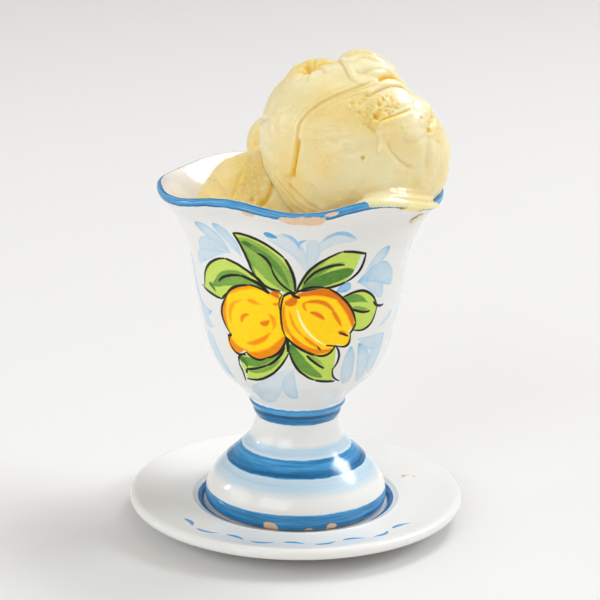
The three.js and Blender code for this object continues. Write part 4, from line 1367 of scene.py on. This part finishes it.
def addSkirtLayer(layer):
    # a ball of radius 1, drawn out along the rim
    deselectAll()
    bpy.ops.mesh.primitive_uv_sphere_add(segments=meltedSkirt["segments"], ring_count=meltedSkirt["rings"],
                                         radius=1, location=(0, 0, 0), rotation=(0, math.pi / 2, 0))
    piece = bpy.context.object
    settle(piece)
    x, y, z = (getPoints(piece) * mm).T
    along = np.sign(x) * np.abs(x) ** meltedSkirt["bunched"]
    around = np.radians(layer["middle"] + layer["halfSpan"] * along)
    wave = rimWave(around)
    ripple = layer["ripple"] * np.sin(meltedSkirt["often"] * around)
    leftEnd = np.where(x < 0, x ** 2, 0)
    swell = np.sqrt(1 + leftEnd)
    out = layer["out"] - layer["halfWidth"] * y * swell - cupShape["flarePerDrop"] * wave + ripple
    height = layer["height"] + layer["halfHeight"] * z * swell + wave - meltedSkirt["rippleUp"] * ripple
    height -= layer["droop"] * leftEnd
    setPoints(piece, np.column_stack([out * np.sin(around), -out * np.cos(around), height]))
    return piece


def faceOutwards(piece):
    makeActive(piece)
    bpy.ops.object.mode_set(mode="EDIT")
    bpy.ops.mesh.select_all(action="SELECT")
    bpy.ops.mesh.normals_make_consistent(inside=False)
    bpy.ops.object.mode_set(mode="OBJECT")


def makeScoop(name, node, scoop, cuts, layers=()):
    blobs = [addBlob(scoop["centre"], scoop["radii"], scoop["fineness"])]
    blobs += [addBlob(centre, radii) for centre, radii in scoop["beside"]]
    blobs += [addSkirtLayer(layer) for layer in layers]
    fill = addFill(fillShape["cut"] - fillShape["overlap"], scoop["fillTop"], cuts)
    body = joinPieces(blobs[0], blobs[1:] + [fill])
    body.name = name
    faceOutwards(body)
    applyModifier(body, "REMESH", mode="VOXEL", voxel_size=scoop["voxel"] * mm, adaptivity=0.0,
                  use_smooth_shade=True)
    applyModifier(body, "SMOOTH", factor=0.5, iterations=scoop["smooth"])
    points = getPoints(body)
    centre, radii = np.array(scoop["centre"], float), np.array(scoop["radii"], float)
    # only what lies near the ball's own skin is sculpted
    out = np.linalg.norm((points - centre) / radii, axis=1)
    weight = smoothstep(*creamSkin["skinFrom"], out) * smoothstep(*creamSkin["skinTo"], out)
    moved, crease, torn = sculptBall(points, scoop, weight)
    setPoints(body, keepInBowl(moved))
    setMask(body, "crease", crease)
    setMask(body, "torn", torn)
    cutPiece(body, (0, 0, fillShape["cut"] * mm), (0, 0, 1), 1)
    joinPieces(body, [addFill(fillShape["bottom"], fillShape["cut"] + 0.2, cuts)])
    body.data.materials.clear()
    body.data.materials.append(iceCream)
    makeActive(body)
    bpy.ops.object.shade_smooth()
    finishPiece(body, node)
    print(name, "made:", len(body.data.polygons), "faces")


leftScoop = {
    "centre": (-14.5, -1, 111), "radii": (26.6, 24, 27.6), "voxel": 0.5, "smooth": 5, "ceiling": 1000,
    "fineness": 5, "beside": [], "fillTop": 108,
    "lumps": [(-86, 16, 14, -0.9), (-88, 38, 10, -1.2), (-60, 52, 14, 0.7), (-10, 40, 14, 0.8),
              (-150, 30, 20, -1.0), (-40, 28, 8, 0.5),
              (-70, 34, 5, 0.5), (-50, 44, 5, -0.5)],
    "folds": [
        foldLine([(-78, 14), (-60, 17), (-42, 13), (-26, 6)], 0.9, 0.7, 0.8, 0.3, 0.6, 0.3),
        foldLine([(-84, 30), (-66, 33), (-48, 31), (-34, 24)], 0.8, 0.4, 0.4, 0.2, 0.3, 0.1),
        foldLine([(-80, 44), (-58, 46), (-40, 42), (-28, 34)], 0.8, 0.35, 0.4, 0.2, 0.3, 0.1),
        foldLine([(-26, 60), (-24, 44), (-26, 28), (-22, 12)], 0.9, 0.7, 0.4, 0.3, 0.2, 0.5),
        foldLine([(20, 58), (10, 40), (-2, 26), (-6, 10)], 1.0, 0.9, -0.4, 0.3, 0.2, 0.7),
    ],
    "pits": [(-52, 16, 0.5, 0.6), (-20, 30, 0.6, 0.7), (-6, 36, 0.7, 0.9), (2, 28, 0.8, 1.0),
             (-12, 18, 0.6, 0.7), (-16, 46, 0.6, 0.8)],
    "torn": [(-37, 68, 5, 0.2, 1.1), (-16, 58, 6, 0.25, 1.0), (-12, 48, 7, 0.3, 1.0),
             (-10, 38, 7, 0.3, 1.1), (-6, 27, 7, 0.3, 1.0),
             (2, 16, 7, 0.3, 1.0), (-64, 10, 5, 0.2, 1.0), (-23, 42, 6, 0.25, 1.2)],
}
backScoop = {
    "centre": (6, 18, 128), "radii": (24, 24, 24), "voxel": 0.6, "smooth": 6, "ceiling": 1000,
    "fineness": 5, "beside": [((-9.7, 18, 137.4), (10.5, 9.6, 11.2))], "fillTop": 111,
    "lumps": [(160, 10, 20, 1.2), (-150, 25, 16, -1.1), (130, 40, 10, 0.8)],
    "folds": [
        foldLine([(120, 30), (150, 18), (-170, 24), (-140, 40)], 1.0, 1.2, 0.7, 0.4, 0.6, 0.4),
        foldLine([(100, 0), (130, -4), (160, 2), (-170, -2)], 1.1, 0.8, 0.5, 0.3, 0.3, 0.3),
    ],
    "pits": [(140, 30, 0.8, 1.0), (170, 34, 0.7, 0.8), (-160, 12, 0.8, 1.0)],
    "torn": [(-120, 20, 10, 0.8, 0.4), (-90, 30, 9, 0.9, 0.42)],
}


def makeIceCreamLook():
    look = creamLook
    material, tree, shader = newMaterial("iceCream")
    place = objectPlace(tree)
    crease, torn = readMask(tree, "crease"), readMask(tree, "torn")
    clouds = addNoise(tree, place, look["cloudScale"], detail=3.0).outputs["Fac"]
    colour = mixColour(tree, fromTo(tree, clouds, *look["clouds"]), look["middle"], look["light"])
    # painted light: the upper right of the scoop, where the light falls, is painted paler
    start = tuple(c * mm for c in look["paleFrom"])
    ahead = moveVector(tree, "SUBTRACT", place, start)
    ahead = moveVector(tree, "DOT_PRODUCT", ahead, look["paleTowards"])
    ahead = calc(tree, "MULTIPLY_ADD", clouds, look["paleUneven"], ahead)
    paintedLight = calc(tree, "MULTIPLY", fromTo(tree, ahead, *look["paleReach"]), look["paleMost"])
    colour = mixColour(tree, paintedLight, colour, look["pale"])
    # torn places are painted a deeper yellow, most in their hollows: partly the cream's own colour, partly
    # painted shade
    colour = mixColour(tree, torn, colour, look["torn"])
    # creases and pits are painted a deeper, darker yellow: partly the cream's own colour, partly painted
    # shade
    colour = mixColour(tree, calc(tree, "POWER", crease, look["creaseFall"]), colour, look["deep"])
    # pale specks in patches: partly tiny ice crystals, partly painted glints of light on the grainy surface
    grain = addNoise(tree, place, look["crystalScale"], rough=0.6).outputs["Fac"]
    patches = fromTo(tree, addNoise(tree, place, look["patchScale"]).outputs["Fac"], *look["patches"])
    glintSpecks = calc(tree, "MULTIPLY", fromTo(tree, grain, *look["crystals"]), patches)
    colour = mixColour(tree, calc(tree, "MULTIPLY", glintSpecks, look["crystalMost"]), colour, look["crystal"])
    tree.links.new(colour, shader.inputs["Base Color"])
    soft = addNoise(tree, place, look["softScale"], detail=3.0, rough=0.55).outputs["Fac"]
    swirl = addNoise(tree, place, look["swirlScale"]).outputs["Fac"]
    drag = addNoise(tree, place, 1.0, detail=3.0, rough=0.6, stretch=look["dragStretch"]).outputs["Fac"]
    height = calc(tree, "MULTIPLY_ADD", soft, look["soft"], calc(tree, "MULTIPLY", swirl, look["swirl"]))
    height = calc(tree, "MULTIPLY_ADD", drag, look["drag"], height)
    height = calc(tree, "MULTIPLY_ADD", grain, look["grain"], height)
    height = calc(tree, "MULTIPLY_ADD", calc(tree, "MULTIPLY", soft, torn), look["tornHeight"], height)
    tree.links.new(addBump(tree, height, look["bump"], look["bumpHeight"]), shader.inputs["Normal"])
    rough = calc(tree, "MULTIPLY_ADD", soft, look["unevenGloss"], look["roughness"])
    rough = calc(tree, "MULTIPLY_ADD", torn, look["tornRoughness"], rough)
    tree.links.new(rough, shader.inputs["Roughness"])
    shader.inputs["Subsurface Weight"].default_value = look["subsurface"]
    shader.inputs["Subsurface Radius"].default_value = look["scatterColours"]
    shader.inputs["Subsurface Scale"].default_value = look["scatter"]
    shader.inputs["IOR"].default_value = look["ior"]
    shader.inputs["Coat Weight"].default_value = look["coat"]
    shader.inputs["Coat Roughness"].default_value = look["coatRoughness"]
    return material


# crumbs on the saucer and a smear of cream on the wall

crumbShape = {
    # each crumb's place and size
    "places": [(41.4, 18.8, 0.75), (43.0, 19.6, 0.5), (45.2, 18.2, 0.7), (46.6, 19.2, 0.45)], "height": 8.3,
    "form": (1.0, 0.8, 0.45), "ragged": 0.3, "raggedScale": 1.3, "deep": (0.88, 0.62, 0.34),
    "pale": (0.97, 0.86, 0.62),
}
smearShape = {
    "around": 58.5, "height": 121.9, "across": 3.4, "up": 1.7, "thick": 0.7, "sunk": 0.35, "outwards": 0.25,
    "ragged": 0.35, "raggedScale": 1.4, "raggedSeed": 5.0,
    "deep": (0.86, 0.74, 0.44), "pale": (0.93, 0.85, 0.62),
}
thinCream = {"grainScale": 1400.0, "roughness": 0.3, "unevenGloss": 0.3}


def makeThinCream(name, deep, pale):
    material, tree, shader = newMaterial(name)
    grain = addNoise(tree, objectPlace(tree), thinCream["grainScale"]).outputs["Fac"]
    tree.links.new(mixColour(tree, grain, deep, pale), shader.inputs["Base Color"])
    rough = calc(tree, "MULTIPLY_ADD", grain, thinCream["unevenGloss"], thinCream["roughness"])
    tree.links.new(rough, shader.inputs["Roughness"])
    return material


def makeCrumbs():
    shape = crumbShape
    blobs = []
    for i, (x, y, size) in enumerate(shape["places"]):
        radii = tuple(size * part for part in shape["form"])
        blob = addBlob((x, y, shape["height"] + 0.5 * size), radii, subdivisions=3)
        points = getPoints(blob)
        centre = points.mean(0)
        rough = 1 + shape["ragged"] * noiseAt(points - centre, shape["raggedScale"], seed=i + 2.0)
        setPoints(blob, centre + (points - centre) * rough[:, None])
        blobs.append(blob)
    crumbs = joinPieces(blobs[0], blobs[1:])
    crumbs.name = "crumbs"
    crumbs.data.materials.append(makeThinCream("crumb", shape["deep"], shape["pale"]))
    bpy.ops.object.shade_smooth()
    finishPiece(crumbs, None)


def makeSmear():
    shape = smearShape
    smear = addBlob((0, 0, 0), (1, 1, 1), subdivisions=4)
    smear.name = "creamSmear"
    points = getPoints(smear)
    ragged = 1 + shape["ragged"] * noiseAt(points, shape["raggedScale"], seed=shape["raggedSeed"])
    across, up = points[:, 0] * shape["across"] * ragged, points[:, 2] * shape["up"] * ragged
    # it lies on the outside of the wall, partly sunk in
    outline = np.array(smoothLine(cupShape["bowlOutside"], 1.0))
    level = shape["height"] + up
    wave = rimWave(math.radians(shape["around"]))
    wall = np.interp(level, outline[:, 1], outline[:, 0]) - cupShape["flarePerDrop"] * wave
    around = math.radians(shape["around"]) + across / wall
    out = wall - shape["sunk"] + shape["thick"] * (shape["outwards"] - points[:, 1])
    setPoints(smear, np.column_stack([out * np.sin(around), -out * np.cos(around), level + wave]))
    smear.data.materials.append(makeThinCream("thinCream", shape["deep"], shape["pale"]))
    faceOutwards(smear)
    bpy.ops.object.shade_smooth()
    finishPiece(smear, None)


# floor

floorLook = {"size": 12.0, "colour": (0.81, 0.805, 0.80), "cloud": (0.72, 0.72, 0.71), "clouding": 0.06,
             "cloudScale": 3.0, "roughness": 0.75, "specular": 0.2}


def makeFloor():
    deselectAll()
    bpy.ops.mesh.primitive_plane_add(size=floorLook["size"], location=(0, 0, 0))
    floor = bpy.context.object
    floor.name = "floor"
    material, tree, shader = newMaterial("paleFloor")
    grain = addNoise(tree, objectPlace(tree), floorLook["cloudScale"]).outputs["Fac"]
    clouding = calc(tree, "MULTIPLY", grain, floorLook["clouding"])
    colour = mixColour(tree, clouding, floorLook["colour"], floorLook["cloud"])
    tree.links.new(colour, shader.inputs["Base Color"])
    shader.inputs["Roughness"].default_value = floorLook["roughness"]
    shader.inputs["Specular IOR Level"].default_value = floorLook["specular"]
    floor.data.materials.append(material)


# the work itself

addCamera()
addLights()
makeFloor()
print("camera, lights and floor set")

wallPlace, brushStroke, paintSpot = makeWallPlace(), makeBrushStroke(), makePaintSpot()
cobaltPaint, glazeSkin = makeCobaltPaint(), makeGlazeSkin()
bowlPaint, bandPaint, rimPaint = makeBowlPaint(), makeBandPaint(), makeRimPaint()
plainGlaze, bareClay = makePlainGlaze("plainGlaze", 0.0), makePlainGlaze("bareClay", 1.0)
saucerPaint = makeSaucerPaint()
iceCream = makeIceCreamLook()
print("paints and glazes mixed")

makeCup()
makeSaucer()
# the scoops meet at two upright planes inside the bowl
right, left = ("x", fillShape["splitX"], 1), ("x", fillShape["splitX"], -1)
front, back = ("y", fillShape["splitY"], -1), ("y", fillShape["splitY"], 1)
makeScoop("frontScoop", "scoop_front", frontScoop, [right, front], meltedSkirt["layers"])
makeScoop("leftScoop", "scoop_left", leftScoop, [left])
makeScoop("backScoop", "scoop_back", backScoop, [right, back])
makeCrumbs()
makeSmear()

bpy.context.view_layer.update()
